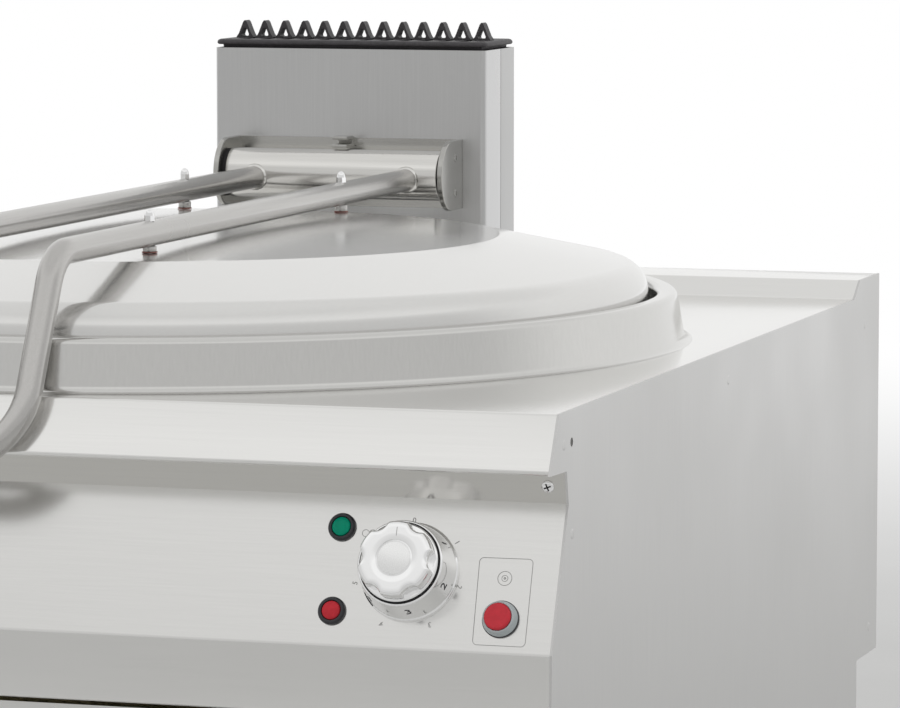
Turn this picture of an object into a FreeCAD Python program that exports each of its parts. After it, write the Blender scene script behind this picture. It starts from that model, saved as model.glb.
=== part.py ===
import FreeCAD, Part
import math
import os
import re
import Sketcher
from FreeCAD import Rotation, Vector

# Cooking kettle: an 800 mm wide floor-standing cabinet with a round jacketed pot in its worktop,
# a hinged lid on a flue column, a sloping control panel and a drain tap.
# Sub-parts are drawn in the kettle frame: X to the right, Y to the back, Z up, with the origin
# where the pot's axis crosses the worktop. seat() then stands them in the part's own frame,
# whose origin is on the floor in the middle of the whole.

SIZES = [
    # cabinet
    ("side_margin", 29.0, "foot of the collar out to the side panel's face"),
    ("worktop_height", 900.0, "worktop above the floor"),
    ("base_clearance", 150.0, "underside of the cabinet above the floor"),
    ("worktop_sheet", 2.0, "thickness of the worktop"),
    ("panel_sheet", 1.5, "thickness of every panel"),
    ("nose_lean", 19.5, "how far the nose's lower edge stands before its upper edge"),
    ("nose_margin", 25.5, "foot of the collar out to the lower edge of the nose"),
    ("nose_drop", 35.5, "worktop down to the lower edge of the nose"),
    ("nose_overhang", 36.0, "nose's lower edge before the top of the strip under it"),
    ("nose_underside", 1.0, "nose's lower edge down to the top of the strip"),
    ("strip_lean", 4.5, "how far the strip leans back from top to bottom"),
    ("strip_height", 20.5, "height of the strip"),
    ("panel_lean", 36.0, "how far the control panel leans forward down to its crease"),
    ("panel_height", 87.5, "height of the control panel down to its crease"),
    ("skirt_lean", 1.0, "how far the skirt below the crease leans forward"),
    ("skirt_height", 42.5, "height of the skirt below the crease"),
    ("skirt_return", 16.0, "width of the flange folded back under the skirt"),
    ("skirt_overhang", 19.0, "skirt before the face of the lower front panel"),
    ("front_panel_gap", 6.0, "gap above and below the lower front panel"),
    ("ledge_ramp", 19.0, "depth of the ramp up to the rear ledge"),
    ("ledge_margin", 6.5, "ledge behind the flue column"),
    ("ledge_rise", 13.0, "height of the rear ledge"),
    ("ledge_apron", 20.0, "depth of the worktop's rear fold"),
    ("rear_step_drop", 277.0, "worktop down to the step in the back"),
    ("rear_recess", 68.0, "back of the ledge to the lower back wall"),
    ("joining_hole_radius", 2.8, "hole for the screw to the next cabinet"),
    ("joining_hole_back", 10.5, "top of the strip back to the joining hole"),
    ("joining_hole_drop", 19.8, "worktop down to the joining hole"),
    # frame and feet
    ("rail_side", 25.0, "side of the square frame tube"),
    ("rail_wall", 1.5, "wall of the square frame tube"),
    ("front_post_back", 24.0, "lower front panel back to the front posts"),
    ("rear_post_gap", 27.5, "rear posts to the lower back wall"),
    ("cross_rail_reach", 180.0, "pot axis to the middle of each cross rail"),
    ("leg_inset", 65.0, "side panel's face in to the middle of a leg"),
    ("front_leg_back", 45.0, "front posts back to the middle of the front legs"),
    ("rear_leg_ahead", 43.0, "middle of the rear legs before the back of the rear posts"),
    ("leg_radius", 25.0, "outer radius of a leg's sleeve"),
    ("leg_wall", 2.0, "wall of a leg's sleeve"),
    ("leg_plate_side", 90.0, "side of the plate on top of a leg"),
    ("leg_plate_thickness", 3.0, "thickness of that plate"),
    ("foot_radius", 30.0, "radius of a foot's disc"),
    ("foot_thickness", 8.0, "thickness of a foot's disc"),
    ("foot_overlap", 50.0, "length of a foot inside its sleeve"),
    ("sleeve_bottom", 45.0, "lower end of the sleeves above the floor"),
    ("running_gap", 0.06, "radial clearance of turning and sliding fits"),
    ("seat_gap", 0.3, "gap where a loose end rests on its seat"),
    # pot and its collar
    ("pot_radius", 300.0, "inner radius of the pot"),
    ("pot_sheet", 2.5, "wall of the pot"),
    ("pot_depth", 518.0, "worktop down to the start of the pot's bottom"),
    ("pot_bottom_round", 20.0, "pot's wall in to where its bottom starts"),
    ("pot_bottom_height", 18.0, "height of the round between wall and bottom"),
    ("pot_bottom_fall", 5.0, "fall of the pot's bottom to its middle"),
    ("rim_height", 14.0, "pot's flange above the worktop"),
    ("collar_sheet", 2.0, "thickness of the collar"),
    ("collar_foot", 25.0, "collar's mouth out to its foot on the worktop"),
    ("collar_fillet", 5.0, "reach and height of the fillet at that foot"),
    ("collar_top_width", 14.5, "collar's mouth out to the top of its wall"),
    ("collar_shoulder_height", 29.5, "height where the collar's wall ends"),
    ("lid_side_gap", 5.0, "gap between the lid's rim and the collar's mouth"),
    ("collar_height", 34.0, "top of the collar above the worktop"),
    ("collar_round", 4.5, "rounding of the collar's top"),
    ("collar_seat_gap", 5.0, "gap between the collar's inner wall and the worktop's hole"),
    ("jacket_width", 30.0, "steam space between the pot and the jacket"),
    ("jacket_sheet", 3.0, "wall of the steam jacket"),
    ("jacket_top_drop", 92.0, "worktop down to the top of the jacket"),
    ("jacket_well", 40.0, "heating elements down to the inside of the jacket's bottom"),
    ("insulation_thickness", 16.0, "thickness of the insulation"),
    ("jacket_leg_radius", 15.0, "radius of a jacket leg"),
    ("jacket_leg_wall", 2.0, "wall of a jacket leg"),
    ("jacket_leg_inset", 130.0, "jacket's wall in to the middle of a jacket leg"),
    # heating
    ("element_gap", 19.0, "middle of the pot's bottom down to the heating elements"),
    ("element_flange_gap", 2.0, "gap between the insulation and the elements' flange"),
    ("element_radius", 4.2, "radius of a heating element's tube"),
    ("element_bend_radius", 8.0, "radius of an element's return bend"),
    ("element_pitch", 20.0, "spacing of the elements"),
    ("element_end_gap", 60.0, "end of the elements to the pot's wall above them"),
    ("element_stub_radius", 36.0, "radius of the stub that holds the elements"),
    ("element_stub_wall", 3.0, "wall of that stub"),
    ("element_flange_radius", 50.0, "radius of the elements' flange"),
    ("element_flange_thickness", 8.0, "thickness of the elements' flange"),
    ("element_cover_radius", 42.0, "radius of the cover over the terminals"),
    ("element_cover_depth", 28.0, "depth of that cover"),
    # drain
    ("drain_lift", 26.0, "start of the pot's bottom up to the drain's axis"),
    ("drain_bore_radius", 24.0, "inner radius of the drain pipe"),
    ("drain_pipe_wall", 3.0, "wall of the drain pipe"),
    ("tap_ahead", 44.0, "tap's upright axis before the lower front panel"),
    ("tap_radius", 30.0, "radius of the tap's barrel"),
    ("tap_head", 42.0, "drain's axis up to the top of the barrel"),
    ("tap_tail", 68.0, "drain's axis down to the bottom of the barrel"),
    ("tap_flange_radius", 38.0, "radius of the tap's flange"),
    ("tap_flange_thickness", 6.0, "thickness of the tap's flange"),
    ("plug_radius", 25.0, "radius of the tap's plug"),
    ("plug_floor", 20.0, "bottom of the barrel up to the plug"),
    ("tap_nut_depth", 8.0, "top of the barrel down to the plug"),
    ("tap_nut_skirt", 2.5, "nut's radius beyond the plug"),
    ("tap_play", 0.5, "play between the plug, its nut and its seat"),
    ("plug_port_radius", 20.0, "radius of the passage through the plug"),
    ("spout_radius", 27.0, "outer radius of the spout"),
    ("spout_bore_radius", 22.0, "inner radius of the spout"),
    ("spout_length", 30.0, "length of the spout below the barrel"),
    ("tap_stem_radius", 8.0, "radius of the plug's stem"),
    ("tap_nut_thickness", 8.0, "thickness of the nut that closes the barrel"),
    ("lever_lift", 14.0, "underside of the lever above the barrel"),
    ("lever_hub_radius", 13.0, "radius of the lever's hub"),
    ("lever_hub_height", 12.0, "height of the lever's hub"),
    ("lever_width", 12.0, "width of the lever's arm"),
    ("lever_thickness", 6.0, "thickness of the lever's arm"),
    ("lever_length", 75.0, "length of the lever's arm"),
    ("grip_radius", 9.0, "radius of the lever's grip"),
    ("grip_length", 60.0, "length of the lever's grip"),
    ("grip_overlap", 20.0, "length of the lever inside its grip"),
    ("strainer_radius", 25.5, "radius of the strainer"),
    ("strainer_sheet", 2.0, "thickness of the strainer"),
    ("strainer_height", 12.0, "strainer's plate inside the pot's wall"),
    ("strainer_hole_radius", 3.0, "radius of a strainer hole"),
    # water and steam pipes, cable entry
    ("pipe_radius", 8.0, "radius of the water and vent pipes"),
    ("pipe_wall", 1.5, "wall of those pipes"),
    ("pipe_bend_radius", 24.0, "bend radius of those pipes"),
    ("service_inset", 100.0, "side panel's face in to the water and cable entries"),
    ("service_drop", 600.0, "worktop down to the water and cable entries"),
    ("fill_riser_inset", 38.0, "back of the pot forward to the fill pipe's riser"),
    ("fill_drop", 62.0, "worktop down to the fill pipe's upper run"),
    ("fill_hole_radius", 6.0, "radius of the filling hole in the pot"),
    ("valve_side", 40.0, "side of the water valve's body"),
    ("valve_length", 48.0, "length of the water valve's body"),
    ("inlet_thread_radius", 10.48, "outer radius of the half inch inlet thread"),
    ("inlet_length", 16.0, "length of the inlet thread"),
    ("inlet_relief_radius", 9.5, "radius of the groove in front of the inlet thread"),
    ("inlet_relief_length", 1.0, "width of the groove in front of the inlet thread"),
    ("inlet_neck_radius", 12.5, "radius of the water valve's neck through the back wall"),
    ("inlet_inside", 15.5, "length of the water valve's neck inside the back wall"),
    ("inlet_shoulder", 3.0, "how far the water valve's neck stands behind the back wall"),
    ("inlet_nut_thickness", 3.0, "thickness of the inlet's lock nut"),
    ("vent_offset", 45.0, "how far the vent pipe stands left of the middle"),
    ("vent_inset", 16.0, "pot's wall out to the middle of the vent pipe"),
    ("vent_drop", 62.0, "worktop down to the vent pipe's level run"),
    ("vent_rise", 60.0, "vent pipe's end above the worktop"),
    ("safety_valve_radius", 14.0, "radius of the safety valve"),
    ("safety_valve_height", 52.0, "height of the safety valve"),
    ("gland_radius", 15.0, "radius of the cable gland"),
    ("gland_thread_radius", 10.0, "radius of the gland's thread"),
    ("gland_bore_radius", 6.0, "radius of the gland's bore"),
    ("gland_length", 20.0, "length of the gland outside the wall"),
    ("gland_inside", 10.0, "length of the gland's thread inside the wall"),
    ("gland_nut_thickness", 4.0, "thickness of the gland's nut"),
    # flue column and grille
    ("flue_half_width", 110.0, "half width of the flue column"),
    ("flue_behind_hinge", 28.0, "hinge's axis back to the flue's front"),
    ("flue_front_depth", 40.0, "depth of the flue's front half"),
    ("flue_back_depth", 38.0, "depth of the flue's back half"),
    ("flue_height", 183.0, "top of the flue above the worktop"),
    ("flue_corner", 4.5, "bend at the flue's front corners"),
    ("flue_depth", 48.0, "flue below the worktop"),
    ("flue_gap", 0.5, "gap round the flue in the worktop"),
    ("grille_thickness", 6.5, "thickness of the grille's plate"),
    ("grille_corner", 6.0, "corner radius of the grille's plate"),
    ("grille_pitch", 16.15, "spacing of the grille's teeth"),
    ("grille_count", 13, "number of the grille's teeth"),
    ("tooth_height", 14.0, "height of a tooth"),
    ("tooth_half_width", 7.6, "half width of a tooth at its foot"),
    ("tooth_hole_height", 7.6, "height of the hole in a tooth"),
    ("tooth_hole_half_width", 4.6, "half width of that hole"),
    ("tooth_depth", 9.0, "thickness of a tooth from front to back"),
    ("slot_half_width", 3.2, "half width of a slot in the grille"),
    ("slot_length", 60.0, "length of a slot in the grille"),
    # lid hinge
    ("hinge_behind_collar", 20.0, "foot of the collar back to the hinge's axis"),
    ("hinge_height", 88.5, "hinge's axis above the worktop"),
    ("hinge_half_length", 87.5, "half length of the hinge tube"),
    ("hinge_tube_radius", 19.0, "outer radius of the hinge tube"),
    ("hinge_tube_wall", 3.0, "wall of the hinge tube"),
    ("hinge_end_gap", 0.6, "gap between the hinge tube and each cheek"),
    ("cheek_radius", 26.5, "radius of a cheek's round front"),
    ("cheek_thickness", 4.0, "thickness of a cheek"),
    ("bracket_sheet", 3.0, "thickness of the bracket's back plate"),
    ("axle_radius", 8.0, "radius of the hinge's axle"),
    ("bush_length", 12.0, "length of a hinge bush"),
    ("spring_radius", 12.0, "mean radius of the balance spring"),
    ("spring_wire", 1.5, "radius of the balance spring's wire"),
    ("spring_turns", 16, "turns of the balance spring"),
    ("stop_half_width", 7.0, "half width of the stop tab over the hinge tube"),
    ("stop_thickness", 2.5, "thickness of the stop tab"),
    ("stop_gap", 0.8, "gap between the stop tab and the hinge tube"),
    ("cheek_screw_offset", 13.5, "cheek screws above and below the hinge's axis"),
    ("cheek_screw_back", 9.0, "cheek screws behind the hinge's axis"),
    ("screw_head_radius", 4.0, "radius of a screw's head"),
    ("screw_head_height", 2.0, "height of a screw's head"),
    ("screw_radius", 2.0, "radius of a screw's shank"),
    ("screw_length", 6.0, "length of a screw's shank"),
    ("strip_screw_inset", 12.5, "side panel's face in to each screw of the strip"),
    ("strip_screw_drop", 10.0, "top of the strip down to its screws"),
    # lid and handle
    ("lid_sheet", 1.5, "thickness of the lid"),
    ("lid_crown_height", 75.0, "middle of the lid above the worktop"),
    ("lid_shoulder_width", 103.1, "lid's edge in to the crease where it starts to fall faster"),
    ("lid_shoulder_height", 71.8, "height of the lid there"),
    ("lid_skirt_flare", 0.5, "how far the lid's skirt widens down to its rim"),
    ("lid_edge_height", 50.2, "height of the lid's edge before it is rounded"),
    ("lid_edge_round", 21.0, "rounding of the lid's edge"),
    ("lid_overlap", 41.0, "pot's inner wall out to the lid's lower rim"),
    ("lid_seat_gap", 0.3, "gap between the lid's rim and the pot's flange"),
    ("arm_spread", 61.0, "half spacing of the handle's arms"),
    ("arm_height", 86.0, "handle's arms above the worktop"),
    ("handle_radius", 8.5, "outer radius of the handle's tube"),
    ("handle_wall", 1.5, "wall of the handle's tube"),
    ("handle_bend_ahead", 2.0, "corner where the arms bend down, before the lid's rim"),
    ("handle_bend_radius", 34.0, "bend radius there"),
    ("handle_lean", 27.5, "lean of the handle's front from upright, in degrees"),
    ("handle_leg", 92.0, "length of the leaning part before the lower bends"),
    ("handle_turn_radius", 49.4, "radius of the two lower bends"),
    ("front_stud_reach", 175.0, "pot axis to the front studs"),
    ("rear_stud_reach", 218.5, "pot axis to the rear studs"),
    ("stud_radius", 4.6, "radius of a stud's shoulder"),
    ("stud_shank_radius", 2.0, "radius of a stud's shank"),
    ("stud_hole_gap", 0.3, "clearance of the shank in the handle and the lid"),
    ("washer_radius", 5.2, "radius of the washer on the lid"),
    ("washer_thickness", 0.8, "thickness of that washer"),
    ("washer_lift", 0.3, "washer's underside above the lid in the stud's axis"),
    ("nut_radius", 3.6, "radius of a dome nut"),
    ("nut_height", 8.0, "height of a dome nut"),
    ("inner_nut_height", 3.2, "height of the nut under the lid"),
    # controls on the sloping panel
    ("knob_inset", 95.0, "side panel's face in to the knob"),
    ("knob_down", 47.0, "top of the panel down its slope to the knob"),
    ("lamp_inset", 142.0, "side panel's face in to the lamps"),
    ("upper_lamp_down", 20.5, "top of the panel to the green lamp"),
    ("lower_lamp_down", 73.4, "top of the panel to the red lamp"),
    ("button_inset", 34.5, "side panel's face in to the push-button"),
    ("button_down", 73.6, "top of the panel to the push-button"),
    ("bezel_radius", 31.0, "outer radius of the knob's dial ring"),
    ("bezel_edge", 3.0, "height of the dial ring's edge"),
    ("bezel_mouth_radius", 26.6, "outer radius of the dial ring's mouth"),
    ("bezel_height", 24.0, "height of the dial ring"),
    ("bezel_bore_radius", 25.6, "inner radius of the dial ring"),
    ("bezel_floor", 4.0, "thickness of the dial ring's floor"),
    ("bezel_hole_radius", 9.5, "hole in the dial ring's floor"),
    ("knob_radius", 23.6, "radius of the knob"),
    ("knob_skirt_radius", 24.6, "radius of the knob's skirt in the ring"),
    ("knob_bottom", 12.0, "underside of the knob above the panel"),
    ("knob_skirt_top", 24.6, "top of the knob's skirt above the panel"),
    ("knob_height", 36.0, "front of the knob above the panel"),
    ("knob_chamfer", 1.6, "bevel of the knob's front edge"),
    ("scallop_count", 6, "number of finger hollows"),
    ("scallop_radius", 8.0, "radius of a finger hollow"),
    ("scallop_reach", 28.6, "knob's axis to the middle of a finger hollow"),
    ("shaft_radius", 3.0, "radius of the regulator's shaft"),
    ("shaft_top", 24.0, "end of the shaft above the panel"),
    ("shaft_bottom", 18.0, "end of the shaft behind the panel"),
    ("regulator_side", 46.0, "side of the energy regulator's housing"),
    ("regulator_depth", 36.0, "depth of that housing"),
    ("regulator_neck_radius", 5.0, "radius of its threaded neck"),
    ("regulator_neck_height", 7.0, "height of its threaded neck"),
    ("regulator_nut_radius", 8.0, "radius of the nut on the neck"),
    ("regulator_nut_height", 3.0, "height of the nut on the neck"),
    ("lamp_radius", 8.8, "radius of a lamp's bezel"),
    ("lamp_height", 3.0, "height of a lamp's bezel"),
    ("lamp_body_radius", 6.5, "radius of a lamp's body behind the panel"),
    ("lamp_body_depth", 24.0, "depth of a lamp's body"),
    ("lens_radius", 5.9, "radius of a lens"),
    ("lens_floor", 1.0, "underside of a lens above the panel"),
    ("lens_height", 4.4, "top of a lens above the panel"),
    ("lens_gap", 0.1, "gap round a lens"),
    ("button_ring_radius", 11.3, "radius of the push-button's ring at the panel"),
    ("button_ring_top_radius", 9.5, "radius of the ring's front"),
    ("button_ring_height", 7.5, "height of the ring"),
    ("button_radius", 8.4, "radius of the button"),
    ("button_gap", 0.2, "gap round the button"),
    ("button_floor", 1.0, "underside of the button above the panel"),
    ("button_height", 9.0, "front of the button above the panel"),
    ("button_travel", 4.0, "how far the button can be pushed"),
    ("button_stem_radius", 3.0, "radius of the button's stem"),
    ("button_stem_bottom", 16.0, "end of the stem behind the panel"),
    ("switch_side", 24.0, "side of the switch behind the button"),
    ("switch_depth", 28.0, "depth of that switch"),
    ("switch_pocket", 8.0, "depth of the pocket behind the button"),
    ("button_spring_radius", 5.6, "mean radius of the button's spring"),
    ("button_spring_wire", 0.5, "radius of its wire"),
    ("button_spring_turns", 5, "turns of the button's spring"),
    # electrical parts
    ("plate_thickness", 2.0, "thickness of the component plate"),
    ("plate_depth", 160.0, "component plate from front to back"),
    ("plate_top_drop", 240.0, "worktop down to the component plate"),
    ("plate_height", 280.0, "height of the component plate"),
    ("contactor_width", 45.0, "width of a contactor"),
    ("contactor_height", 78.0, "height of a contactor"),
    ("contactor_depth", 58.0, "depth of a contactor"),
    ("contactor_pitch", 55.0, "spacing of the contactors"),
    ("terminal_width", 16.0, "width of one terminal"),
    ("terminal_pitch", 18.0, "spacing of the terminals"),
    ("terminal_height", 38.0, "height of a terminal"),
    ("terminal_depth", 34.0, "depth of a terminal"),
    ("terminal_count", 5, "number of terminals"),
]

# Places that several sub-parts share, worked out from the sizes.
PLACES = [
    ("pot_outer_radius", "Float", "pot_radius + pot_sheet"),
    ("pot_bottom_radius", "Float", "pot_radius - pot_bottom_round"),
    ("pot_bottom_drop", "Float", "pot_depth + pot_bottom_height"),
    ("pot_centre_drop", "Float", "pot_bottom_drop + pot_bottom_fall"),
    ("element_drop", "Float", "pot_centre_drop + element_gap"),
    ("jacket_bottom_drop", "Float", "element_drop + jacket_well"),
    ("drain_drop", "Float", "pot_depth - drain_lift"),
    ("tap_top_drop", "Float", "drain_drop - tap_head"),
    ("tap_bottom_drop", "Float", "drain_drop + tap_tail"),
    ("lid_rim_radius", "Float", "pot_radius + lid_overlap"),
    ("lid_edge_radius", "Float", "lid_rim_radius - lid_skirt_flare"),
    ("lid_shoulder_radius", "Float", "lid_edge_radius - lid_shoulder_width"),
    ("collar_inner_radius", "Float", "lid_rim_radius + lid_side_gap"),
    ("collar_shoulder_radius", "Float", "collar_inner_radius + collar_top_width"),
    ("collar_base_radius", "Float", "collar_inner_radius + collar_foot"),
    ("module_width", "Float", "2 * (collar_base_radius + side_margin)"),
    ("inner_half_width", "Float", "module_width / 2 - panel_sheet"),
    ("nose_reach", "Float", "collar_base_radius + nose_margin"),
    ("nose_top_reach", "Float", "nose_reach - nose_lean"),
    ("strip_top_reach", "Float", "nose_reach - nose_overhang"),
    ("strip_top_drop", "Float", "nose_drop + nose_underside"),
    ("strip_bottom_reach", "Float", "strip_top_reach - strip_lean"),
    ("strip_bottom_drop", "Float", "strip_top_drop + strip_height"),
    ("crease_reach", "Float", "strip_bottom_reach + panel_lean"),
    ("crease_drop", "Float", "strip_bottom_drop + panel_height"),
    ("skirt_reach", "Float", "crease_reach + skirt_lean"),
    ("skirt_drop", "Float", "crease_drop + skirt_height"),
    ("panel_slope", "Angle", "atan(panel_lean / panel_height)"),
    ("strip_slope", "Angle", "atan(strip_lean / strip_height)"),
    ("front_panel_reach", "Float", "skirt_reach - skirt_overhang"),
    ("front_post_reach", "Float", "front_panel_reach - front_post_back"),
    ("front_leg_reach", "Float", "front_post_reach - front_leg_back"),
    ("joining_hole_reach", "Float", "strip_top_reach - joining_hole_back"),
    ("tap_reach", "Float", "front_panel_reach + tap_ahead"),
    ("front_reach", "Float", "tap_reach + tap_radius"),
    ("hinge_reach", "Float", "collar_base_radius + hinge_behind_collar"),
    ("flue_front", "Float", "hinge_reach + flue_behind_hinge"),
    ("flue_joint", "Float", "flue_front + flue_front_depth"),
    ("flue_back", "Float", "flue_joint + flue_back_depth"),
    ("flue_middle", "Float", "(flue_front + flue_back) / 2"),
    ("ledge_start", "Float", "flue_front - flue_gap"),
    ("ledge_front", "Float", "ledge_start + ledge_ramp"),
    ("ledge_back", "Float", "flue_back + ledge_margin"),
    ("rear_wall_reach", "Float", "ledge_back - rear_recess"),
    ("rear_post_reach", "Float", "rear_wall_reach - rear_post_gap"),
    ("rear_leg_reach", "Float", "rear_post_reach - rear_leg_ahead"),
    ("kettle_y", "Float", "(front_reach - ledge_back) / 2"),
    ("leg_spread", "Float", "module_width / 2 - leg_inset"),
    ("body_drop", "Float", "worktop_height - base_clearance"),
    ("floor_top", "Float", "panel_sheet - body_drop"),
    ("jacket_radius", "Float", "pot_radius + jacket_width"),
    ("jacket_outer_radius", "Float", "jacket_radius + jacket_sheet"),
    ("jacket_underside", "Float", "-(jacket_bottom_drop + jacket_sheet)"),
    ("jacket_leg_spread", "Float", "jacket_radius - jacket_leg_inset"),
    ("insulation_radius", "Float", "jacket_outer_radius + insulation_thickness"),
    ("element_reach", "Float", "pot_radius - element_end_gap"),
    ("element_flange_face", "Float", "insulation_radius + element_flange_gap"),
    ("drain_pipe_radius", "Float", "drain_bore_radius + drain_pipe_wall"),
    ("plug_bottom_drop", "Float", "tap_bottom_drop - plug_floor"),
    ("plug_top_drop", "Float", "tap_top_drop + tap_nut_depth"),
    ("spout_drop", "Float", "tap_bottom_drop + spout_length"),
    ("lever_drop", "Float", "tap_top_drop - lever_lift"),
    ("strainer_reach", "Float", "pot_radius - strainer_height"),
    ("service_spread", "Float", "module_width / 2 - service_inset"),
    ("fill_riser_reach", "Float", "pot_radius - fill_riser_inset"),
    ("vent_jacket_reach", "Float", "pot_radius + vent_inset"),
    ("cheek_inner", "Float", "hinge_half_length + hinge_end_gap"),
    ("hinge_bore_radius", "Float", "hinge_tube_radius - hinge_tube_wall"),
    ("strip_screw_spread", "Float", "module_width / 2 - strip_screw_inset"),
    ("handle_bend_reach", "Float", "lid_rim_radius + handle_bend_ahead"),
    ("crown_fall", "Float", "(lid_crown_height - lid_shoulder_height) / lid_shoulder_radius ^ 2"),
    ("crown_lift", "Float", "lid_crown_height - crown_fall * arm_spread ^ 2 + washer_lift"),
    ("front_washer_height", "Float", "crown_lift - crown_fall * front_stud_reach ^ 2"),
    ("rear_washer_height", "Float", "crown_lift - crown_fall * rear_stud_reach ^ 2"),
    ("arm_underside", "Float", "arm_height - handle_radius"),
    ("arm_top", "Float", "arm_height + handle_radius"),
    ("grille_foot", "Float", "flue_height + grille_thickness"),
    ("knob_across", "Float", "module_width / 2 - knob_inset"),
    ("lamp_across", "Float", "module_width / 2 - lamp_inset"),
    ("button_across", "Float", "module_width / 2 - button_inset"),
    ("component_face", "Float", "inner_half_width - rail_side - plate_thickness"),
]

doc = FreeCAD.newDocument("CookingKettle")
sheet = doc.addObject("Spreadsheet::Sheet", "Dimensions")
places = doc.addObject("App::VarSet", "Places")
PREFIX = {name: "Dimensions." + name for name, number, note in SIZES}
PREFIX.update({name: "Places." + name for name, kind, formula in PLACES})
SUB_PARTS = []


def spell(formula):
    """Writes a formula of plain names as an expression of the document."""
    return re.sub(r"[a-z_]+", lambda found: PREFIX.get(found.group(0), found.group(0)), str(formula))


def fill_sheet():
    for row, (name, number, note) in enumerate(SIZES, start=1):
        sheet.set("A%d" % row, name)
        sheet.set("B%d" % row, str(number))
        sheet.set("C%d" % row, note)
        sheet.setAlias("B%d" % row, name)
    doc.recompute()
    for name, kind, formula in PLACES:
        places.addProperty("App::Property" + kind, name, "Places", "")
        places.setExpression(name, spell(formula))
    doc.recompute()


def size(name):
    """The number behind a size or a place."""
    if PREFIX[name].startswith("Places."):
        found = getattr(places, name)
        return float(getattr(found, "Value", found))
    return float(sheet.get(name))


def bind(thing, prop, formula):
    thing.setExpression(prop, spell(formula))


def move(thing, at):
    for axis, formula in zip("xyz", at):
        bind(thing, ".Placement.Base." + axis, formula)


def turn(thing, angle):
    """Turns a thing about X by a formula in degrees."""
    thing.Placement.Rotation = Rotation(Vector(1, 0, 0), 45)
    bind(thing, ".Placement.Rotation.Angle", angle)


def seat(node, thing, tilt=None, at=("0", "kettle_y", "worktop_height")):
    """Names a sub-part and stands it in the part's own frame."""
    if thing.TypeId in ("Part::Box", "Part::Cylinder"):
        thing = group(node + "_solids", [thing])
    thing.Label = node
    if tilt:
        turn(thing, tilt)
    move(thing, at)
    SUB_PARTS.append(thing)
    return thing


def on_panel(across, down):
    """Place on the face of the sloping panel, given along X and down its slope."""
    return (across,
            "kettle_y - strip_bottom_reach - %s * sin(panel_slope)" % down,
            "worktop_height - strip_bottom_drop - %s * cos(panel_slope)" % down)


def seat_on_panel(node, thing, across, down):
    """Stands a control on the sloping panel, its own Z along the panel's outward normal."""
    return seat(node, thing, tilt="90 deg - panel_slope", at=on_panel(across, down))


# Solids from primitives

def box(name, low, lengths):
    solid = doc.addObject("Part::Box", name)
    for prop, formula in zip(("Length", "Width", "Height"), lengths):
        bind(solid, prop, formula)
    move(solid, low)
    return solid


AXES = {
    "z": Rotation(),
    "x": Rotation(Vector(0, 1, 0), 90),
    "y": Rotation(Vector(1, 0, 0), -90),
}


def rod(name, radius, length, start, axis="z"):
    """A round rod from its start along +X, +Y or +Z."""
    solid = doc.addObject("Part::Cylinder", name)
    bind(solid, "Radius", radius)
    bind(solid, "Height", length)
    solid.Placement.Rotation = AXES[axis]
    move(solid, start)
    return solid


def cut(name, base, tools):
    tool = tools[0] if len(tools) == 1 else fuse(name + "_tools", tools)
    result = doc.addObject("Part::Cut", name)
    result.Base = base
    result.Tool = tool
    return result


def fuse(name, solids):
    result = doc.addObject("Part::MultiFuse", name)
    result.Shapes = solids
    result.Refine = True
    return result


def common(name, first, second):
    result = doc.addObject("Part::Common", name)
    result.Base = first
    result.Tool = second
    return result


def group(name, solids):
    result = doc.addObject("Part::Compound", name)
    result.Links = solids
    return result


def tube(name, radius, wall, length, start, axis="z"):
    outer = rod(name + "_outside", radius, length, start, axis)
    inner = rod(name + "_inside", "%s - %s" % (radius, wall), length, start, axis)
    return cut(name, outer, [inner])


def rail(name, low, axis, length):
    """A square frame tube, open at both ends."""
    outer = {"x": [length, "rail_side", "rail_side"],
             "y": ["rail_side", length, "rail_side"],
             "z": ["rail_side", "rail_side", length]}[axis]
    along = "xyz".index(axis)
    inner_low = ["%s + rail_wall" % place for place in low]
    inner = ["rail_side - 2 * rail_wall"] * 3
    inner_low[along] = low[along]
    inner[along] = length
    return cut(name, box(name + "_outside", low, outer), [box(name + "_inside", inner_low, inner)])


def plain_shape(name, shape):
    """A sub-part whose shape is made from wires and pipes."""
    feature = doc.addObject("Part::Feature", name)
    feature.Shape = Part.Compound([shape])
    return feature


# Bodies from sketches

def body_sketch(body, name, role):
    sketch = body.newObject("Sketcher::SketchObject", name)
    plane = [item for item in body.Origin.OriginFeatures if item.Role == role][0]
    sketch.AttachmentSupport = (plane, [""])
    sketch.MapMode = "FlatFace"
    return sketch


def pin_point(sketch, line, name, point, position=1):
    """Ties a line's end to the sketch's origin by two named distances."""
    for kind, axis, formula in (("DistanceX", "x", point[0]), ("DistanceY", "y", point[1])):
        number = guess(formula)
        index = sketch.addConstraint(Sketcher.Constraint(kind, -1, 1, line, position, number))
        sketch.renameConstraint(index, axis + name)
        bind(sketch, "Constraints." + axis + name, formula)


def guess(formula):
    """Value of a formula of sums, products and names, to draw a sketch near its final shape."""
    probe = "probe"
    if probe not in places.PropertiesList:
        places.addProperty("App::PropertyFloat", probe, "Places", "")
    places.setExpression(probe, spell(formula))
    places.recompute()
    return float(places.probe)


def outline(body, name, role, points):
    """A closed outline of straight lines, each corner tied to the sizes."""
    sketch = body_sketch(body, name, role)
    corners = [Vector(guess(first), guess(second), 0) for first, second in points]
    count = len(corners)
    for index in range(count):
        sketch.addGeometry(Part.LineSegment(corners[index], corners[(index + 1) % count]), False)
    for index in range(count):
        sketch.addConstraint(Sketcher.Constraint("Coincident", index, 2, (index + 1) % count, 1))
    for index in range(count):
        pin_point(sketch, index, str(index), points[index])
    return sketch


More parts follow.
